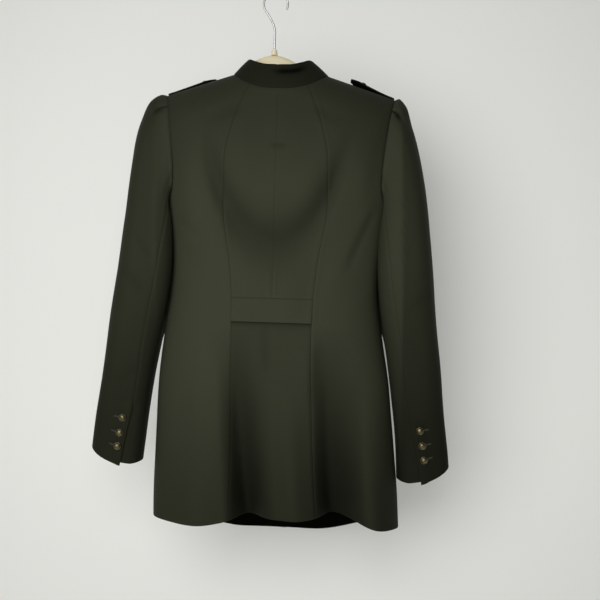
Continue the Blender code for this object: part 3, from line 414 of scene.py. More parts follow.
def collar_surface(phi, share):
    """Stand collar, straight from the neckline to its top edge; phi goes round from the centre back."""
    seam = neckline(phi, -SEAM)
    x = follow(BODY, 1, -seam[..., 1]) * np.sin(seam[..., 0])
    low = cloth(seam[..., 0], np.maximum(drop_to_run(shoulder_line(x) - seam[..., 1]), 0))
    middle = (COLLAR_TOP_BACK + COLLAR_TOP_FRONT) / 2
    reach = (COLLAR_TOP_BACK - COLLAR_TOP_FRONT) / 2
    high = np.stack([
        COLLAR_LEAN + COLLAR_TOP_X * np.sin(phi),
        middle + reach * np.cos(phi),
        follow(COLLAR_TOP, 1, np.degrees(np.abs(phi))),
    ], -1)
    return low + (high - low) * np.asarray(share)[..., None]


def armhole_loop(side):
    """The armhole's edge as one loop: points, normals and lengths, from the top round by the back."""
    z = armhole_rows()
    back = pairs(armhole(side, z), z)
    ahead = pairs(armhole(side, z, True), z)[::-1]
    loop = np.concatenate([back, ahead[1:-1], back[:1]])
    points, normals = on_body(loop[:, 0], loop[:, 1])
    return points, normals, lengths(points)


def along_loop(loop, place):
    """Point and normal of the body at these lengths along the armhole."""
    points, normals, length = loop
    place = np.mod(place, length[-1])
    point = np.stack([np.interp(place, length, points[:, k]) for k in range(3)], -1)
    normal = np.stack([np.interp(place, length, normals[:, k]) for k in range(3)], -1)
    return point, unit(normal)


class Sleeve:
    """One sleeve: a cap from the armhole down to the upper arm, then a tube down to the cuff."""

    def __init__(self, label):
        self.label = label
        self.side = SIDES[label]
        self.cuff = CUFF_DROP[label]
        self.loop = armhole_loop(self.side)
        self.length = self.loop[2]
        self.total = self.length[-1]
        self.elbow = float(self.length[SEAM_ROW])
        self.inseam = float(self.length[-1 - SEAM_ROW]) - self.total
        middle = TOP_SHARE / 2
        self.shares = (TOP_SHARE - 1, 0, middle, TOP_SHARE, 1, 1 + middle)
        last = self.elbow - self.total
        self.places = (self.inseam + self.total, self.elbow, 0, self.inseam, last, -self.total)

    def seam_place(self, g):
        """Length along the armhole for a share g round the sleeve: 0 elbow seam, TOP_SHARE inseam."""
        return np.interp(g, self.shares, self.places)

    def ring(self, g, drop):
        """Point of the hanging sleeve: a squarish oval, kept clear of the body beside it."""
        outer, inner = follow(SLEEVE, 1, drop), follow(SLEEVE, 2, drop)
        half_depth, middle_y = follow(SLEEVE, 3, drop), follow(SLEEVE, 4, drop)
        swing = follow(SWING, 1 if self.label == "left" else 2, drop)
        centre, half = (outer + inner) / 2 + swing, (outer - inner) / 2
        seam = np.clip((follow(ELBOW_SEAM, 1, drop) - centre) / half, -0.98, 0.98)
        power = SLEEVE_SQUARENESS / 2
        elbow = np.degrees(np.arccos(np.sign(seam) * np.abs(seam) ** power))
        middle = TOP_SHARE / 2
        front = INSEAM_ANGLE
        angle = np.where(g < middle, elbow * (1 - g / middle), front * (g - middle) / (TOP_SHARE - middle))
        under = front + (elbow - 360 - front) * (g - TOP_SHARE) / (1 - TOP_SHARE)
        angle = np.where(g > TOP_SHARE, under, angle)
        before = elbow + (front + 360 - elbow) * (-g) / (1 - TOP_SHARE)
        angle = np.radians(np.where(g < 0, before, angle))
        cos, sin = np.cos(angle), np.sin(angle)
        x = centre + half * np.sign(cos) * np.abs(cos) ** (1 / power)
        y = middle_y + half_depth * np.sign(sin) * np.abs(sin) ** (1 / power)
        hug = HUG * ease(drop, *HUG_FROM) * (1 - ease(drop, *HUG_TO))
        x = x - hug * ease(-sin, -0.1, 0.6) * ease(-cos, 0, 0.6)
        tilt = CUFF_TILT * (x - centre) + CUFF_CURVE * (x - centre) ** 2
        z = -drop + tilt * ease(drop, CUFF_TILT_FROM, self.cuff)
        return np.stack([self.side * self.clear_of_body(x, y, z), y, z], -1)

    def clear_of_body(self, x, y, z):
        """Moves x out to the body's side, plus a little air, where the plain oval would reach into it."""
        depth = np.where(y > 0, follow(BODY, 2, -z), follow(BODY, 3, -z))
        wanted = np.abs(y) / depth
        cos = np.clip(wanted, 0, 1)
        for _ in range(8):
            cos = np.clip(wanted / (1 + FULLNESS * (1 - cos**2)), 0, 1)
        side = follow(BODY, 1, -z) * np.sqrt(1 - cos**2) + self.side * sway(z) + ARM_CLEARANCE
        return (x + side) / 2 + np.sqrt(((x - side) / 2) ** 2 + ARM_SOFTNESS)

    def surface(self, g, row):
        """Sleeve's outer face: row 0 to 1 is the cap, 1 to 2 is the tube down to the cuff."""
        point, normal = along_loop(self.loop, self.seam_place(g))
        end = self.ring(g, np.full(np.shape(g), CAP_END))
        below = self.ring(g, np.full(np.shape(g), CAP_END + 4))
        chord = np.linalg.norm(end - point, axis=-1, keepdims=True)
        crown = np.clip(np.cos(2 * math.pi * np.clip(g - TOP_SHARE / 2, -0.5, 0.5)), 0, 1)
        fall = CROWN_FALL[self.label] * crown + UNDERARM_FALL * (1 - crown) ** 2
        lean = np.stack([np.full(np.shape(g), self.side), CAP_LEAN * point[..., 1], -fall], -1)
        leave = unit(lean) * chord * CAP_LEAVE[self.label]
        arrive = unit(below - end) * chord * CAP_ARRIVE
        start = point + np.array([self.side * 2 * SEAM, 0, 0])
        cap = cubic(np.clip(row, 0, 1)[..., None], start, leave, end, arrive)
        pleat = ease(PLEAT_HALF - np.abs(g - TOP_SHARE / 2), 0, PLEAT_EDGE) * ease(row, 0, 0.05)
        pleat = pleat * (1 - ease(row, PLEAT_END * 0.45, PLEAT_END)) * PLEAT_HEIGHT[self.label]
        cap = cap + pleat[..., None] * np.array([self.side * PLEAT_WAY[0], 0, PLEAT_WAY[1]])
        tube = self.ring(g, CAP_END + (self.cuff - CAP_END) * np.clip(row - 1, 0, 1.1))
        return np.where(row[..., None] < 1, cap, tube)

    def piece(self, name, shares, vent, tip):
        """One piece of the sleeve as a shell; vent lifts its edge at the cuff's vent, tip lengthens it."""
        g, row = np.meshgrid(shares, 2 * bunched(SLEEVE_ROWS))
        base = self.surface(g, row)
        normal = outward(self.surface, g, np.maximum(row, 0.004), 0.004, 0.004) * self.side
        x, y, z = np.abs(base[..., 0]), base[..., 1], base[..., 2]
        middle = follow(SLEEVE, 4, np.clip(-z, 185, 650))
        behind = creases(SLEEVE_BACK[self.label], x, z) * ease(y - middle, 2, 16)
        ahead = creases(SLEEVE_FRONT, x, z) * ease(middle - y, 2, 16)
        slow = unevenness(x, z, 2.0 * self.side) * ease(-z, 40, 140) * 0.8
        at_cuff = ease(-z, self.cuff - VENT - 12, self.cuff - VENT + 4)
        out = behind + ahead + slow - edge_fall(base, SEWN) + vent(g) * at_cuff
        outer = base + normal * out[..., None]
        outer[..., 2] -= tip(g) * at_cuff
        # painted shade: the sleeve darker overall and beyond its pressed crease, low towards the cuff and
        # in creases, with a painted shadow under the pleat's edge
        width = PLEAT_SHADOW[0] + PLEAT_SHADOW[1] * row
        fold = np.exp(-(((np.abs(g - TOP_SHARE / 2) - PLEAT_HALF - width / 2) / width) ** 2))
        x0, z0, x1, z1 = SLEEVE_BACK[self.label][0][:4]
        soft = CREASE_SOFT[self.label]
        beyond = ease(x - x0 - (x1 - x0) * (z - z0) / (z1 - z0), -soft, soft)
        shade = layered(
            INNER_SHADE[self.label],
            SLEEVE_SHADE[self.label] * beyond,
            CUFF_SHADE[self.label] * ease(-outer[..., 2], *CUFF_FROM),
            CREASE_SHADE * np.clip(-behind - ahead, 0, 2),
            PLEAT_SHADE[self.label] * fold * (1 - ease(row, 0.1, 0.2)),
        )
        _, body = along_loop(self.loop, self.seam_place(shares))
        outer = np.concatenate([base[:1] - body * ALLOWANCE, outer])
        normal, shade = (np.concatenate([rows[:1], rows]) for rows in (normal, shade))
        return shell(name, outer, normal, CLOTH, shade)


def hook_route():
    """Middle line of the hook: a straight stem, a bend out to one side, then round over the top."""
    start = max(row[1] for row in HANGER) + CLEAR + FERRULE_HEIGHT + CLEAR
    stem = pairs(HANGER_X, np.linspace(start, HOOK_STEM_TOP, 3))
    angle = np.radians(np.linspace(*HOOK_ARC, 19))
    arc = pairs(HANGER_X + HOOK_RADIUS * np.cos(angle), HOOK_CENTRE_Z + HOOK_RADIUS * np.sin(angle))
    up, round_it = np.array([0, 32.0]), np.array([-math.sin(angle[0]), math.cos(angle[0])]) * 26
    bend = cubic(np.linspace(0, 1, 7)[1:-1, None], stem[-1], up, arc[0], round_it)
    return np.concatenate([stem, bend, arc])


# how fine each shell is: its faces across and down, or along and across for a strap
FINE = {
    "panel": (56, 168),
    "front": (66, 168),
    "back_centre": (36, 96),
    "belt": (60, 20),
    "skirt": (84, 90),
    "collar": (200, 30),
    "strap": (48, 30),
}
SLEEVE_ROWS = 176
BUTTON_SIDES = 40
THREAD_SIDES = 6
THREAD_RADIUS = 0.6

# how far a panel's face falls in at an edge, the width of that fall, and how far it swells beside it, where
# the seam allowances lie beneath
EDGES = {
    "seam": (0.45, 0.8, 0.25),
    "faint": (0.15, 0.8, 0.1),
    "hem": (0.6, 0.8, 0.0),
}
SWELL_AT = 5.0
SWELL_WIDTH = 3.5
# a piece that is sewn at its sides and its top, and hemmed below
SEWN = ("seam", "seam", "seam", "hem")

# folds and creases: from x, from z, to x, to z, half width, how far it stands out, sharp or not
BACK_CREASES = (
    (-17, -97, 9, -97, 2.6, -1.5, 0),
    (-168, -190, -122, -295, 6, -1.8, 0),
    (-5, -300, -5, -345, 2.2, 0.7, 0),
    (6, -300, 5, -345, 2.2, 0.7, 0),
    (150, -150, 128, -290, 16, 1.4, 0),
    (-150, -120, -140, -190, 14, 1.2, 0),
    (118, -60, 60, -30, 12, -0.8, 0),
    (-112, -58, -60, -32, 12, -0.8, 0),
    (165, -215, 120, -260, 8, -1.1, 0),
    (-80, -420, -74, -520, 10, -1.0, 0),
    (110, -400, 128, -560, 14, 1.2, 0),
    (8, -395, 4, -470, 9, -0.8, 0),
)
FRONT_CREASES = (
    (150, -190, 96, -262, 8, -1.6, 0),
    (-150, -186, -100, -255, 9, -1.6, 0),
    (60, -150, 30, -240, 14, 1.4, 0),
    (-70, -140, -34, -236, 13, 1.4, 0),
    (110, -430, 132, -700, 22, 3.0, 0),
    (-96, -430, -118, -700, 24, 3.4, 0),
    (46, -470, 54, -740, 16, -2.4, 0),
    (-58, -500, -62, -740, 17, -2.2, 0),
    (170, -330, 120, -352, 7, -1.2, 0),
    (-170, -332, -124, -356, 7, -1.2, 0),
)
SLEEVE_BACK = {
    "left": (
        (203, -70, 193, -400, 9, 1.3, 1),
        (246, -120, 250, -330, 16, 0.8, 0),
        (232, -250, 196, -292, 8, -0.9, 0),
        (262, -300, 214, -345, 9, -1.0, 0),
        (222, -470, 262, -500, 9, -0.7, 0),
    ),
    "right": (
        (208, -80, 221, -520, 8, 2.2, 1),
        (240, -140, 246, -330, 15, 0.9, 0),
        (236, -262, 204, -292, 8, -0.9, 0),
        (262, -330, 222, -366, 9, -1.0, 0),
        (226, -540, 268, -560, 9, -0.7, 0),
    ),
}
SLEEVE_FRONT = (
    (214, -120, 222, -420, 14, 1.2, 0),
    (244, -262, 206, -300, 9, -1.2, 0),
    (262, -318, 220, -352, 10, -1.3, 0),
    (250, -380, 226, -430, 9, -0.8, 0),
)

# length across, length down, turn, height of each slow wave in the cloth
WAVES = (
    (143, 410, 0.4, 0.55), (-97, 260, 1.9, 0.40), (71, 330, 4.1, 0.28), (210, -170, 2.6, 0.35),
    (-58, -120, 5.3, 0.14),
)

# painted shade: how much darker the cloth's colour is painted, as shares of the light
# painted shade on the inside, nearly black
INSIDE_SHADE = 0.97
# in a trough that is FOLD_DEPTH deep
FOLD_SHADE = 0.62
FOLD_DEPTH = 40.0
# low on the body, between these drops
LOW_SHADE = 0.38
LOW_FROM = (420.0, 740.0)
# by the shoulders, down to this drop
HIGH_SHADE = 0.3
HIGH_TO = 230.0
# in the waist's hollow, this far above its deepest line and this high
HOLLOW_SHADE = 0.12
HOLLOW_UP = 10.0
HOLLOW_BAND = 24.0
# beside the left and the right sleeve
SIDE_SHADE = (0.7, 0.75)
# low on the wearer's right
RIGHT_SHADE = 0.22
# on the centre of the skirt, and in the belt's shadow
CENTRE_SHADE = 0.16
BELT_SHADE = 0.55
BELT_SHADOW = 5.0
# on the collar, and for each millimetre of its dent
COLLAR_SHADE = 0.66
DENT_SHADE = 0.22
# for each millimetre of a crease
CREASE_SHADE = 0.13
# on the shoulder straps
STRAP_SHADE = 0.65
# on all of a sleeve, and more beyond its pressed crease, which is this soft
INNER_SHADE = {"left": 0.06, "right": 0.12}
SLEEVE_SHADE = {"left": 0.3, "right": 0.24}
CREASE_SOFT = {"left": 14.0, "right": 3.0}
# low on the sleeves, between these drops
CUFF_SHADE = {"left": 0.36, "right": 0.52}
CUFF_FROM = (260.0, 640.0)
# under the pleat's edge, with the width there and its growth down the cap
PLEAT_SHADE = {"left": 0.6, "right": 0.95}
PLEAT_SHADOW = (0.003, 0.05)

# the vent at each cuff: its height, how far its upper edge stands off and how far the lower one sinks, and
# how much longer the upper edge's corner is and how much shorter the lower one's
VENT = 100.0
LAP = 1.9
SINK = 0.8
CORNER = 2.4
CORNER_UNDER = 2.5
# how far the sleeve's seam allowance reaches in at the armhole
ALLOWANCE = 6.0

CAMERA_TARGET = (-59.5, 45.0, -523.8)
CAMERA_DISTANCE = 1500.0
CAMERA_YAW = 3.0
CAMERA_ROLL = 1.8
CAMERA_ANGLE = 36.73


def web(top, bottom, left, right, c, r):
    """Coons patch between four edges that are sampled at the shares c across and r down."""
    c, r = c[None, :, None], r[:, None, None]
    top, bottom, left, right = top[None], bottom[None], left[:, None], right[:, None]
    corners = (1 - r) * ((1 - c) * top[:, :1] + c * top[:, -1:])
    corners = corners + r * ((1 - c) * bottom[:, :1] + c * bottom[:, -1:])
    return (1 - r) * top + r * bottom + (1 - c) * left + c * right - corners


def finer(rows, share):
    """A list of heights, read at shares of its length."""
    return np.interp(share * (len(rows) - 1), np.arange(len(rows)), rows)


def edge_across(left, right, c, row, hem=None):
    """Edge across a panel from a point of its left edge to one of its right: level, or along a hem."""
    theta = left[row, 0] + c * (right[row, 0] - left[row, 0])
    return pairs(theta, hem(np.sin(theta) * SIDE_HEM_X) if hem else left[row, 1])


def onto_shoulder(neck, side, past, front=False):
    """A neckline that goes on along the shoulder seam, where past counts the columns beyond the neck."""
    x = side * (NECK_X + (SHOULDER_X - SEAM - NECK_X) * np.clip(past, 0, None) / SHOULDER_COLUMNS)
    seam = pairs(theta_at(x, shoulder_line(x), front), shoulder_line(x))
    return np.where((past <= 0)[:, None], neck, seam)


def creases(rows, x, z):
    """Sum of troughs and ridges, each along a line: a bell or a tent across it, fading to its ends."""
    total = np.zeros(np.shape(x))
    for x0, z0, x1, z1, half, depth, sharp in rows:
        length = math.hypot(x1 - x0, z1 - z0)
        ux, uz = (x1 - x0) / length, (z1 - z0) / length
        along = ((x - x0) * ux + (z - z0) * uz) / length
        across = np.abs((x - x0) * uz - (z - z0) * ux) / half
        fade = ease(along, -0.15, 0.25) * (1 - ease(along, 0.75, 1.15))
        total = total + depth * fade * np.exp(-across if sharp else -(across**2))
    return total


def unevenness(x, z, turn=0.0):
    """Slow unevenness of hanging cloth: the sum of a few plane waves."""
    total = np.zeros(np.shape(x))
    for across, down, start, height in WAVES:
        total = total + height * np.sin(2 * math.pi * (x / across + z / down) + start + turn)
    return total


def edge_fall(points, kinds):
    """How far the cloth falls in at its left, right, top and bottom edges, by the distance to each."""
    across = np.linalg.norm(np.diff(points, axis=1), axis=-1)
    along = np.linalg.norm(np.diff(points, axis=0), axis=-1)
    left = np.pad(np.cumsum(across, axis=1), ((0, 0), (1, 0)))
    top = np.pad(np.cumsum(along, axis=0), ((1, 0), (0, 0)))
    total = np.zeros(points.shape[:2])
    for kind, distance in zip(kinds, (left, left[:, -1:] - left, top, top[-1:] - top)):
        depth, width, swelling = EDGES[kind]
        swell = swelling * np.exp(-(((distance - SWELL_AT) / SWELL_WIDTH) ** 2))
        total = total + depth * np.exp(-distance / width) - swell
    return total


def put(name, data):
    """Object with this mesh, light or camera, at the origin of the scene."""
    made = bpy.data.objects.new(name, data)
    bpy.context.scene.collection.objects.link(made)
    return made


def mesh_piece(name, points, faces, finish, nodes):
    """Object from points in millimetres of the garment's frame; it stands for these CAD nodes."""
    mesh = bpy.data.meshes.new(name)
    mesh.from_pydata(((points + SHIFT) * MM).tolist(), [], faces)
    mesh.shade_smooth()
    mesh.set_sharp_from_angle(angle=math.radians(60))
    mesh.materials.append(finish)
    piece = put(name, mesh)
    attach(piece, "root")
    if nodes:
        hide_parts(*nodes)
    return piece


def shell(name, outer, normal, thickness=CLOTH, shade=0.0):
    """Thin closed shell: the grid of outer points, the same grid moved in along its normals, and a rim."""
    rows, columns = outer.shape[:2]
    points = np.concatenate([outer.reshape(-1, 3), (outer - normal * thickness).reshape(-1, 3)])
    index = np.arange(rows * columns).reshape(rows, columns)
    quads = np.stack([index[:-1, :-1], index[1:, :-1], index[1:, 1:], index[:-1, 1:]], -1).reshape(-1, 4)
    rim = np.concatenate([index[0, :-1], index[:-1, -1], index[-1, :0:-1], index[:0:-1, 0]])
    after = np.roll(rim, -1)
    back = rows * columns
    edge = np.stack([rim, after, after + back, rim + back], -1)
    facing = np.cross(np.diff(outer, axis=0)[:, :-1], np.diff(outer, axis=1)[:-1])
    if np.sum(facing * normal[:-1, :-1]) < 0:
        quads, edge = quads[:, ::-1], edge[:, ::-1]
    faces = np.concatenate([quads, quads[:, ::-1] + back, edge])
    piece = mesh_piece(name + "_cloth", points, faces.tolist(), CLOTH_FINISH, [name])
    # painted shade: the outer face takes the piece's painted shade, the inner face is painted nearly black
    dark = piece.data.attributes.new("shade", "FLOAT", "POINT")
    outside = np.broadcast_to(shade, outer.shape[:2]).ravel()
    dark.data.foreach_set("value", np.concatenate([outside, np.full(back, INSIDE_SHADE)]))
    return piece


def layered(*shades):
    """Shades laid one over the other: each leaves its own share of the light that the others leave."""
    light = 1.0
    for shade in shades:
        light = light * (1 - shade)
    return 1 - light


def body_shell(name, grid, kinds, lift=None):
    """Panel of the body: the CAD form with its creases and unevenness, its edges falling into the seams."""
    theta, z = grid[..., 0], grid[..., 1]
    base, normal = on_body(theta, z)
    x = base[..., 0]
    cos = np.cos(theta)
    behind = creases(BACK_CREASES, x, z) * ease(cos, 0, 0.2)
    ahead = creases(FRONT_CREASES, x, z) * ease(-cos, 0, 0.2)
    out = behind + ahead + unevenness(x, z) * ease(-z, 0, 60) - edge_fall(base, kinds)
    if lift is not None:
        out = out + lift(theta, z)
    # painted shade: darker in the skirt's troughs, the waist's hollow, low down, by the shoulders, in
    # creases, beside the sleeves, low on the right, on the skirt's centre, and a painted shadow under the
    # belt
    trough = np.clip(-relief(follow(BODY, 1, -z) * np.sin(theta), z) / FOLD_DEPTH, 0, 1) ** 0.5
    middle = HOLLOW_Z + HOLLOW_RISE * (x / HOLLOW_HALF_WIDTH) ** 2 + HOLLOW_UP
    hollow = np.exp(-(((z - middle) / HOLLOW_BAND) ** 2)) * (1 - ease(np.abs(x), 50, 100))
    beside = (1 - ease(cos, 0, 0.42)) * ease(cos, -0.3, 0)
    beside = beside * ease(-z, 130, 300) * (1 - ease(-z, 330, 520))
    parts = [
        FOLD_SHADE * trough * ease(cos, 0, 0.2),
        HOLLOW_SHADE * hollow * ease(cos, 0, 0.2),
        LOW_SHADE * ease(-z, *LOW_FROM),
        HIGH_SHADE * (1 - ease(-z, 0, HIGH_TO)),
        CREASE_SHADE * np.clip(-behind - ahead, 0, 2),
        np.where(x > 0, *SIDE_SHADE) * beside,
        RIGHT_SHADE * ease(-x, 60, 120) * ease(-z, 430, 640),
    ]
    if name == "back_skirt_centre":
        parts += [CENTRE_SHADE, BELT_SHADE * np.exp(-(-z - BELT_BOTTOM) / BELT_SHADOW)]
    shade = layered(*parts)
    return shell(name, base + normal * out[..., None], normal, CLOTH, shade)


def back_side_shell(label, side):
    """Side panel of the back: its top edge runs along the neckline, then the shoulder seam."""
    c, r = (bunched(count) for count in FINE["panel"])
    at = c * (NECK_SIDE_COLUMNS + SHOULDER_COLUMNS)
    phi = PRINCESS_START + (math.pi / 2 - PRINCESS_START) * np.clip(at / NECK_SIDE_COLUMNS, 0, 1)
    top = onto_shoulder(neckline(side * phi, SEAM), side, at - NECK_SIDE_COLUMNS)
    z = finer(side_edge(side, False, float(back_hem(side * SIDE_HEM_X)))[:, 1], r)
    right = pairs(armhole(side, z), z)
    z = finer(seam_rows(float(back_hem(side * follow(PRINCESS, 1, SEAM_HEM_DROP)))), r)
    left = pairs(princess_seam(side, z, SEAM), z)
    bottom = edge_across(left, right, c, -1, back_hem)
    left[0], right[0], left[-1], right[-1] = top[0], top[-1], bottom[0], bottom[-1]
    body_shell(f"back_side_{label}", web(top, bottom, left, right, c, r), SEWN)


def back_centre_shell(label, side):
    """Upper centre back, from the centre seam to the princess seam."""
    c, r = (bunched(count) for count in FINE["back_centre"])
    top = neckline(side * PRINCESS_START * c, SEAM)
    top[0, 0] = theta_at(side * SEAM, top[0, 1])
    z = finer(seam_rows(-HEM_DROP)[: -(SKIRT_ROWS + 1)], r)
    z[-1] = -(BELT_TOP - SEAM)
    down = (z - z[0]) / (z[-1] - z[0])
    centre_z, seam_z = (start + down * (z[-1] - start) for start in (top[0, 1], top[-1, 1]))
    left = pairs(theta_at(side * SEAM, centre_z), centre_z)
    right = pairs(princess_seam(side, seam_z, -SEAM), seam_z)
    right[0] = top[-1]
    bottom = edge_across(left, right, c, -1)
    kinds = ("faint", "seam", "seam", "seam")
    body_shell(f"back_centre_{label}", web(top, bottom, left, right, c, r), kinds)


def back_belt_shell():
    """Half belt: it stands off the cloth more towards its lower edge, where its shadow falls."""
    c, r = (bunched(count) for count in FINE["belt"])
    z = -(BELT_TOP + SEAM) - r * (BELT_BOTTOM - BELT_TOP - 2 * SEAM)
    left, right = (pairs(princess_seam(side, z, -SEAM), z) for side in (-1, 1))
    top, bottom = (edge_across(left, right, c, row) for row in (0, -1))

    def lift(theta, z):
        return BELT_LIFT[0] + (BELT_LIFT[1] - BELT_LIFT[0]) * ease(-z, BELT_TOP, BELT_BOTTOM)

    body_shell("back_belt", web(top, bottom, left, right, c, r), ("seam", "seam", "hem", "hem"), lift)


def back_skirt_shell():
    """Centre of the skirt below the belt."""
    c, r = (bunched(count) for count in FINE["skirt"])
    edges = []
    for side in (-1, 1):
        hem_x = side * follow(PRINCESS, 1, SEAM_HEM_DROP)
        z = finer(seam_rows(float(back_hem(hem_x)))[-(SKIRT_ROWS + 1) :], r)
        z[0] = -(BELT_BOTTOM + SEAM)
        edges.append(pairs(princess_seam(side, z, -SEAM), z))
    left, right = edges
    top, bottom = edge_across(left, right, c, 0), edge_across(left, right, c, -1, back_hem)
    left[-1], right[-1] = bottom[0], bottom[-1]
    body_shell("back_skirt_centre", web(top, bottom, left, right, c, r), SEWN)


def front_shell(label, side):
    """Front, from the closing edge to the armhole and side seam; the wearer's right one lies on top."""
    past = OVERLAP if side < 0 else UNDERLAP
    c, r = (bunched(count) for count in FINE["front"])
    at = c * (1 + NECK_FRONT_COLUMNS + SHOULDER_COLUMNS)
    phi = side * (math.pi - math.pi / 2 * np.clip((at - 1) / NECK_FRONT_COLUMNS, 0, 1))
    top = neckline(phi, SEAM, True)
    start = math.asin(past / float(follow(BODY, 1, -top[0, 1])))
    top[:, 0] += side * start * np.clip(1 - at, 0, 1)
    top = onto_shoulder(top, side, at - 1 - NECK_FRONT_COLUMNS, True)
    z = finer(side_edge(side, True, float(back_hem(side * SIDE_HEM_X)))[:, 1], r)
    right = pairs(armhole(side, z, True), z)
    for edge in (top, right):
        edge[:, 0] += np.where(side * edge[:, 0] < 0, side * 2 * math.pi, 0)
    upper = top[0, 1] - (UNDERARM_DROP + top[0, 1]) * bunched(ARM_ROWS)
    lower = np.linspace(-UNDERARM_DROP, -FRONT_HEM_DROP, SIDE_ROWS + 1)[1:]
    z = finer(np.concatenate([upper, lower]), r)
    left = pairs(side * (math.pi + np.arcsin(past / follow(BODY, 1, -z))), z)
    bottom = edge_across(left, right, c, -1, front_hem)
    bottom[-1, 1] = right[-1, 1]
    left[-1], left[0], right[0] = bottom[0], top[0], top[-1]

    def lift(theta, z):
        inward = side * np.sin(theta) * follow(BODY, 1, -z)
        return (CLOTH + PROUD) * (1 - ease(inward, *OVERLAP_EDGE)) * (side < 0)

    kinds = ("hem", "seam", "seam", "hem")
    body_shell(f"front_{label}", web(top, bottom, left, right, c, r), kinds, lift)


def collar_shell():
    """Stand collar, a little rounded along its top edge, with a soft dent at the centre back."""
    whole = np.pi - COLLAR_FRONT_GAP / NECK_X
    phi, share = np.meshgrid(whole * (2 * bunched(FINE["collar"][0]) - 1), bunched(FINE["collar"][1]))
    base = collar_surface(phi, share)
    normal = -outward(collar_surface, phi, share, 0.004, 0.01)
    across = base[..., 0]
    dent = -1.3 * np.exp(-(((share - 0.7) / 0.13) ** 2))
    dent = dent * ease(across, -52, -30) * (1 - ease(across, -8, 18))
    roll = 0.9 * np.sin(math.pi * share) + 0.5 * np.sin(phi * 3 + 1)
    out = dent + roll - edge_fall(base, ("hem", "hem", "seam", "hem"))
    # painted shade: the collar is painted darker, more in its dent
    shade = COLLAR_SHADE - DENT_SHADE * dent
    shell("collar", base + normal * out[..., None], normal, CLOTH, shade)


def lap(g):
    """How far the top sleeve's edge stands off the cloth beneath it at the vent, where it laps over."""
    return LAP * (1 - ease(g, 0.02, 0.08))


def sleeve_shells(label):
    """Top sleeve with its box pleat and the lap of its vent, and under sleeve."""
    shape = Sleeve(label)
    middle = TOP_SHARE / 2
    steps = PLEAT_HALF - np.linspace(-0.1, 1.1, 9) * PLEAT_EDGE
    top = np.unique(np.concatenate([bunched(64) * TOP_SHARE, middle - steps, middle + steps]))
    shape.piece(f"top_sleeve_{label}", top, lap, lambda g: CORNER * (1 - ease(g, 0, 0.05)))
    under = TOP_SHARE + bunched(40) * (1 - TOP_SHARE)
    sink = lambda g: -SINK * ease(g, 0.93, 0.99)
    shape.piece(f"under_sleeve_{label}", under, sink, lambda g: -CORNER_UNDER * ease(g, 0.93, 1))
    return shape


def circle(count, first, second):
    """Points of a circle of radius 1 in the plane of two directions, or a circle for each pair of them."""
    angle = np.linspace(0, 2 * math.pi, count, endpoint=False)[:, None]
    return np.cos(angle) * first + np.sin(angle) * second


def tube(name, rings, slot, finish, nodes, ends=None):
    """Closed body from a row of rings; each end is one face, or a fan of faces round its end point."""
    count, sides = rings.shape[:2]
    points = rings.reshape(-1, 3)
    index = np.arange(count * sides).reshape(count, sides)
    after = np.roll(index, -1, axis=1)
    faces = np.stack([index[:-1], index[1:], after[1:], after[:-1]], -1).reshape(-1, 4).tolist()
    if ends is None:
        faces += [index[0].tolist(), index[-1, ::-1].tolist()]
    else:
        first, last = len(points), len(points) + 1
        points = np.concatenate([points, ends])
        faces += [(first, a, b) for a, b in zip(index[0].tolist(), after[0].tolist())]
        faces += [(last, b, a) for a, b in zip(index[-1].tolist(), after[-1].tolist())]
    return mesh_piece(name, points, faces, finish, nodes)


def lathe(name, radius, point, normal):
    """Domed button turned about its normal: a smooth dome in a raised rim, over a shank."""
    angle = np.radians(np.linspace(90, 12, 12))
    dome = [(0.86 * math.cos(a), 0.24 + 0.62 * math.sin(a)) for a in angle]
    turn = np.radians(np.linspace(150, -90, 9))
    rim = [(0.93 + 0.075 * math.cos(a), 0.3 + 0.09 * math.sin(a)) for a in turn]
    shank = [(0.86, BUTTON_UNDER), (BUTTON_SHANK, BUTTON_UNDER), (BUTTON_SHANK, 0), (0, 0)]
    out, high = (np.array(dome + rim + shank) * radius).T
    up = unit(np.asarray(normal))
    side = unit(np.cross(up, [0, 0, 1.0] if abs(up[2]) < 0.9 else [0, 1.0, 0]))
    middle = np.asarray(point) + (CLEAR + high[:, None]) * up
    rings = middle[1:-1, None] + out[1:-1, None, None] * circle(BUTTON_SIDES, side, np.cross(up, side))
    return tube(name + "_dome", rings, "button", BRASS_FINISH, [name], middle[[0, -1]])


def stadium(length, half):
    """Loop with straight sides and round ends, as distances along and across a buttonhole."""
    angle = np.linspace(-math.pi / 2, math.pi / 2, 9)
    end = np.stack([length + half * np.cos(angle), half * np.sin(angle)], -1)
    start = np.stack([-half * np.cos(angle), -half * np.sin(angle)], -1)
    edge = np.linspace(0, 1, 9)[1:-1, None]
    upper = end[-1] + (start[0] - end[-1]) * edge
    lower = start[-1] + (end[0] - start[-1]) * edge
    return np.concatenate([end, upper, start, lower])


def buttonhole(name, at, length):
    """Worked buttonhole: a round thread in a narrow loop on the cloth; at gives its points and normals."""
    loop = stadium(length, 0.85)
    path, normal = at(loop[:, 0], loop[:, 1])
    path = path + normal * 0.25
    across = np.cross(unit(np.roll(path, -1, axis=0) - np.roll(path, 1, axis=0)), normal)
    points = path[:, None] + THREAD_RADIUS * circle(THREAD_SIDES, across[:, None], normal[:, None])
    index = np.arange(len(path) * THREAD_SIDES).reshape(-1, THREAD_SIDES)
    onward, after = np.roll(index, -1, axis=0), np.roll(index, -1, axis=1)
    faces = np.stack([index, onward, np.roll(onward, -1, axis=1), after], -1).reshape(-1, 4)
    return mesh_piece(name, points.reshape(-1, 3), faces.tolist(), THREAD_FINISH, [])


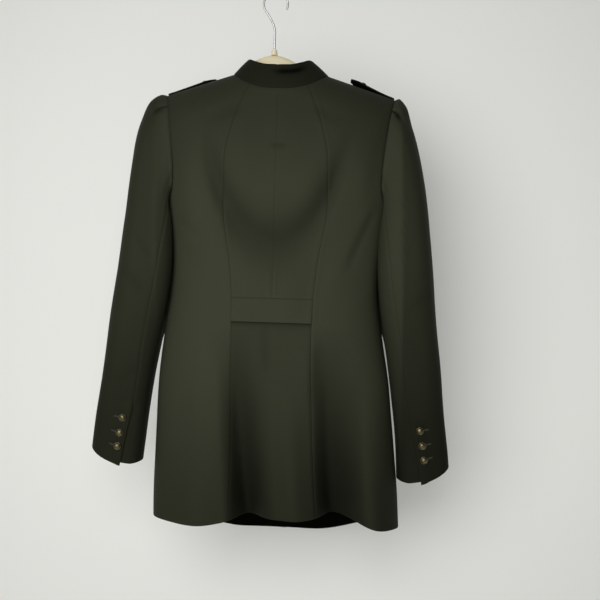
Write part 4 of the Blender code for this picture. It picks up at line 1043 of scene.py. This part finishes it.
def cuff_trim(label, shape):
    """Three buttons a cuff, each with its buttonhole, which points to the sleeve's outer edge."""
    column = 0 if label == "left" else 2
    g = np.linspace(0.0, TOP_SHARE / 2, 400)
    for number, row in enumerate(CUFF_BUTTONS, start=1):
        x, drop = row[column], row[column + 1]
        line = shape.ring(g, np.full(g.shape, float(drop)))
        share = float(np.interp(x, np.abs(line[:, 0]), g))
        length = lengths(line)
        middle = float(np.interp(share, g, length))
        at_row = 1 + (drop - CAP_END) / (shape.cuff - CAP_END)

        def at(along, across):
            here = np.interp(middle + along, length, g)
            down = at_row + across / (shape.cuff - CAP_END)
            face = outward(shape.surface, here, down, 0.004, 0.004) * shape.side
            return shape.surface(here, down) + face * lap(here)[:, None], face

        point, normal = at(np.zeros(1), np.zeros(1))
        lathe(f"cuff_button_{label}_{number}", CUFF_BUTTON_RADIUS, point[0], normal[0])
        buttonhole(f"cuff_buttonhole_{label}_{number}", at, 14.0)


def front_trim():
    """One row of buttons down the closing edge, each over the end of its buttonhole."""
    for number in range(1, FRONT_BUTTONS + 1):
        drop = FRONT_BUTTON_FIRST + FRONT_BUTTON_STEP * (number - 1)

        def at(along, across):
            theta = -math.pi + along / follow(BODY, 1, drop)
            z = -drop + across
            point, normal = on_body(theta, z, np.full(along.shape, CLOTH + PROUD + FRONT_BUTTON_GAP))
            rise = creases(FRONT_CREASES, point[:, 0], z) + unevenness(point[:, 0], z)
            return point + normal * rise[:, None], normal

        point, normal = at(np.zeros(1), np.zeros(1))
        lathe(f"front_button_{number}", FRONT_BUTTON_RADIUS, point[0], normal[0])
        buttonhole(f"front_buttonhole_{number}", at, 12.0)


def epaulette_shell(label, side):
    """Shoulder strap: sewn in at the armhole, pointed and lifting a little at its free end."""
    length = EPAULETTE_OUTER - EPAULETTE_TIP[label]
    share, across = bunched(FINE["strap"][0]), 2 * bunched(FINE["strap"][1]) - 1
    point = np.clip((share - EPAULETTE_POINT_FROM) / (1 - EPAULETTE_POINT_FROM), 0, 1)
    half = EPAULETTE_HALF * (1 - EPAULETTE_TAPER * share) * (1 - EPAULETTE_POINT * point)
    run = across[None, :] * half[:, None] - EPAULETTE_FORWARD
    x = np.repeat((EPAULETTE_OUTER - length * share)[:, None], len(across), axis=1)
    z = shoulder_line(x) - run_to_drop(np.abs(run))
    theta = theta_at(side * x, z, run < 0)
    points = cloth(theta, np.abs(run))
    normal = outward(cloth, theta, np.maximum(np.abs(run), 0.2), 0.004, 0.1)
    base = points + normal * (CLEAR + EPAULETTE_WALL)
    base = base + UP * (EPAULETTE_LIFT[label] * share**1.5)[:, None, None]
    fall = edge_fall(base, ("hem", "hem", "seam", "hem"))
    # painted shade: the strap is painted darker all over
    shell(f"epaulette_{label}", base - normal * fall[..., None], normal, EPAULETTE_WALL, STRAP_SHADE)
    at = float(np.interp((length - EPAULETTE_BUTTON) / length, share, np.arange(len(share))))
    low, middle = int(at), len(across) // 2
    point = base[low, middle] * (1 - (at - low)) + base[low + 1, middle] * (at - low)
    lathe(f"epaulette_button_{label}", CUFF_BUTTON_RADIUS, point, normal[low, middle])


def hanger_shell():
    """Hanger: oval sections along its arms, with a narrow moulded bead along both faces."""
    x = np.linspace(HANGER[0][0], HANGER[-1][0], 220)
    top, tall = follow(HANGER, 1, x), follow(HANGER, 2, x)
    angle = np.linspace(0, 2 * math.pi, 48, endpoint=False)
    deep = HANGER_HALF_DEPTH * np.clip(tall / 9, 0.5, 1)
    bead = 1 + 0.07 * np.exp(-(((np.abs(np.sin(angle)) - 1) / 0.012) ** 2))
    rings = np.stack(np.broadcast_arrays(
        x[:, None],
        deep[:, None] * bead * np.sin(angle),
        (top - tall)[:, None] + tall[:, None] * np.cos(angle),
    ), -1)
    return tube("hanger_body_form", rings, "hanger", HANGER_FINISH, ["hanger_body"])


def hook_shell():
    """Hook: a round section carried along its route, with a rounded tip."""
    route = hook_route()
    length = lengths(route)
    place = np.linspace(0, length[-1], 160)
    x, z = np.interp(place, length, route[:, 0]), np.interp(place, length, route[:, 1])
    across = np.cross(unit(np.stack([np.gradient(x), 0 * x, np.gradient(z)], -1)), DEPTH)
    from_tip = np.clip(1 - (length[-1] - place) / WIRE_RADIUS, 0, 1)
    radius = WIRE_RADIUS * np.sqrt(np.clip(1 - from_tip**2, 0.05, 1))
    middle = np.stack([x, 0 * x, z], -1)[:, None]
    rings = middle + radius[:, None, None] * circle(20, across[:, None], DEPTH)
    return tube("hanger_hook_wire", rings, "hook", WIRE_FINISH, ["hanger_hook"])


def finish(name, colour, roughness, metallic=0.0, mottled=None, grain=None):
    """Principled material; mottled gives two colours and their noise, grain a noise, strength and depth."""
    made = bpy.data.materials.new(name)
    made.use_nodes = True
    tree = made.node_tree
    shader = tree.nodes["Principled BSDF"]
    shader.inputs["Base Color"].default_value = (*colour, 1)
    shader.inputs["Roughness"].default_value = roughness
    shader.inputs["Metallic"].default_value = metallic
    if grain:
        scale, detail, strength, distance = grain
        bump = tree.nodes.new("ShaderNodeBump")
        bump.inputs["Strength"].default_value = strength
        bump.inputs["Distance"].default_value = distance
        tree.links.new(noise(tree, scale, detail), bump.inputs["Height"])
        tree.links.new(bump.outputs["Normal"], shader.inputs["Normal"])
    if mottled:
        low, high, scale, detail = mottled
        ramp = tree.nodes.new("ShaderNodeValToRGB")
        for end, place, tint in zip(ramp.color_ramp.elements, (0.3, 0.7), (low, high)):
            end.position, end.color = place, (*tint, 1)
        tree.links.new(noise(tree, scale, detail), ramp.inputs["Fac"])
        tree.links.new(ramp.outputs["Color"], shader.inputs["Base Color"])
    return made, tree, shader


def noise(tree, scale, detail):
    """Noise on the object's own coordinates."""
    place = tree.nodes.new("ShaderNodeTexCoord")
    made = tree.nodes.new("ShaderNodeTexNoise")
    made.inputs["Scale"].default_value = scale
    made.inputs["Detail"].default_value = detail
    tree.links.new(place.outputs["Object"], made.inputs["Vector"])
    return made.outputs["Fac"]


def cloth_finish():
    """Dark olive wool suiting: a fine uneven weave and a little sheen; the pieces' painted shade darkens
    both.
    """
    mottled = ((0.031, 0.034, 0.021), (0.037, 0.040, 0.025), 900, 3)
    grain = (1600, 2, 0.35, 0.0004)
    made, tree, shader = finish("olive_wool", (0.034, 0.037, 0.023), 0.62, 0.0, mottled, grain)
    shader.inputs["Specular Tint"].default_value = (0.95, 1.0, 0.7, 1)
    weave = shader.inputs["Base Color"].links[0].from_socket
    # painted shade: the shade attribute mixes the weave towards near black
    shade = tree.nodes.new("ShaderNodeAttribute")
    shade.attribute_name = "shade"
    dark = tree.nodes.new("ShaderNodeMix")
    dark.data_type = "RGBA"
    for end in dark.inputs:
        if end.name == "A" and end.type == "RGBA":
            tree.links.new(weave, end)
        if end.name == "B" and end.type == "RGBA":
            end.default_value = (0.0012, 0.0013, 0.0009, 1)
        if end.name == "Factor" and end.type == "VALUE":
            tree.links.new(shade.outputs["Fac"], end)
    tree.links.new([end for end in dark.outputs if end.type == "RGBA"][0], shader.inputs["Base Color"])
    # the specular level falls from 0.1 to nothing with the painted shade
    sheen = tree.nodes.new("ShaderNodeMapRange")
    sheen.inputs["To Min"].default_value = 0.1
    sheen.inputs["To Max"].default_value = 0.0
    tree.links.new(shade.outputs["Fac"], sheen.inputs["Value"])
    tree.links.new(sheen.outputs["Result"], shader.inputs["Specular IOR Level"])
    return made


def studio():
    """Pale floor that sweeps up behind the jacket, a soft light, and a camera at the photo's angle."""
    sweep = np.radians(np.linspace(0, 90, 13))
    curve = [(0.35 - 0.6 * math.sin(a), -0.72 - 0.6 * math.cos(a)) for a in sweep]
    profile = [(3.2, -1.32), *curve, (-0.25, 1.9)]
    points = [(x, y, z) for y, z in profile for x in (-3.2, 3.2)]
    faces = [(2 * i, 2 * i + 1, 2 * i + 3, 2 * i + 2) for i in range(len(profile) - 1)]
    mesh = bpy.data.meshes.new("floor")
    mesh.from_pydata(points, [], faces)
    mesh.shade_smooth()
    made, _, shader = finish("pale_floor", (0.66, 0.665, 0.63), 0.9)
    shader.inputs["Emission Color"].default_value = (1.0, 1.0, 0.965, 1)
    shader.inputs["Emission Strength"].default_value = 0.22
    mesh.materials.append(made)
    put("floor", mesh)

    world = bpy.data.worlds.new("studio")
    world.use_nodes = True
    world.node_tree.nodes["Background"].inputs["Color"].default_value = (1, 1, 1, 1)
    world.node_tree.nodes["Background"].inputs["Strength"].default_value = 0.06
    bpy.context.scene.world = world
    light = bpy.data.lights.new("key", "AREA")
    light.size, light.energy, light.spread = 1.5, 12, math.radians(110)
    lamp = put("key", light)
    lamp.location = (0.38, 1.5, -0.2)
    aim = Vector((-0.03, 0.03, -0.5)) - lamp.location
    lamp.rotation_euler = aim.to_track_quat("-Z", "Y").to_euler()

    yaw, roll = math.radians(CAMERA_YAW), math.radians(CAMERA_ROLL)
    ahead = np.array([math.sin(yaw), -math.cos(yaw), 0])
    level = np.array([-math.cos(yaw), -math.sin(yaw), 0])
    right = level * math.cos(roll) + UP * math.sin(roll)
    top = UP * math.cos(roll) - level * math.sin(roll)
    place = (np.array(CAMERA_TARGET) - ahead * CAMERA_DISTANCE) * MM
    lens = bpy.data.cameras.new("camera")
    lens.angle = math.radians(CAMERA_ANGLE)
    camera = put("camera", lens)
    camera.matrix_world = Matrix([*np.column_stack([right, top, -ahead, place]).tolist(), [0, 0, 0, 1]])
    bpy.context.scene.camera = camera
    bpy.context.scene.view_settings.view_transform = "Standard"


CLOTH_FINISH = cloth_finish()
# olive thread, about as dark as the cloth
mottled = ((0.026, 0.028, 0.020), (0.036, 0.038, 0.027), 1200, 2)
THREAD_FINISH, *_ = finish("olive_thread", (0.060, 0.062, 0.045), 0.7, 0.0, mottled)
# antique brass, mottled at random between dark and bright
mottled = ((0.060, 0.052, 0.029), (0.25, 0.212, 0.112), 420, 3)
BRASS_FINISH, *_ = finish("antique_brass", (0.12, 0.088, 0.045), 0.42, 1.0, mottled, (700, 2, 0.2, 0.0004))
# smooth cream plastic
mottled = ((0.76, 0.68, 0.45), (0.80, 0.72, 0.49), 30, 2)
HANGER_FINISH, *_ = finish("cream_plastic", (0.78, 0.70, 0.47), 0.42, 0.0, mottled)
# plated steel wire
WIRE_FINISH, *_ = finish("plated_wire", (0.50, 0.51, 0.52), 0.32, 1.0, None, (500, 2, 0.1, 0.0003))

collar_shell()
back_belt_shell()
back_skirt_shell()
for label, side in SIDES.items():
    back_side_shell(label, side)
    back_centre_shell(label, side)
    front_shell(label, side)
    cuff_trim(label, sleeve_shells(label))
    epaulette_shell(label, side)
front_trim()
hanger_shell()
hook_shell()
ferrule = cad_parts["hanger_ferrule"]
ferrule.data.materials.clear()
ferrule.data.materials.append(HANGER_FINISH)
studio()
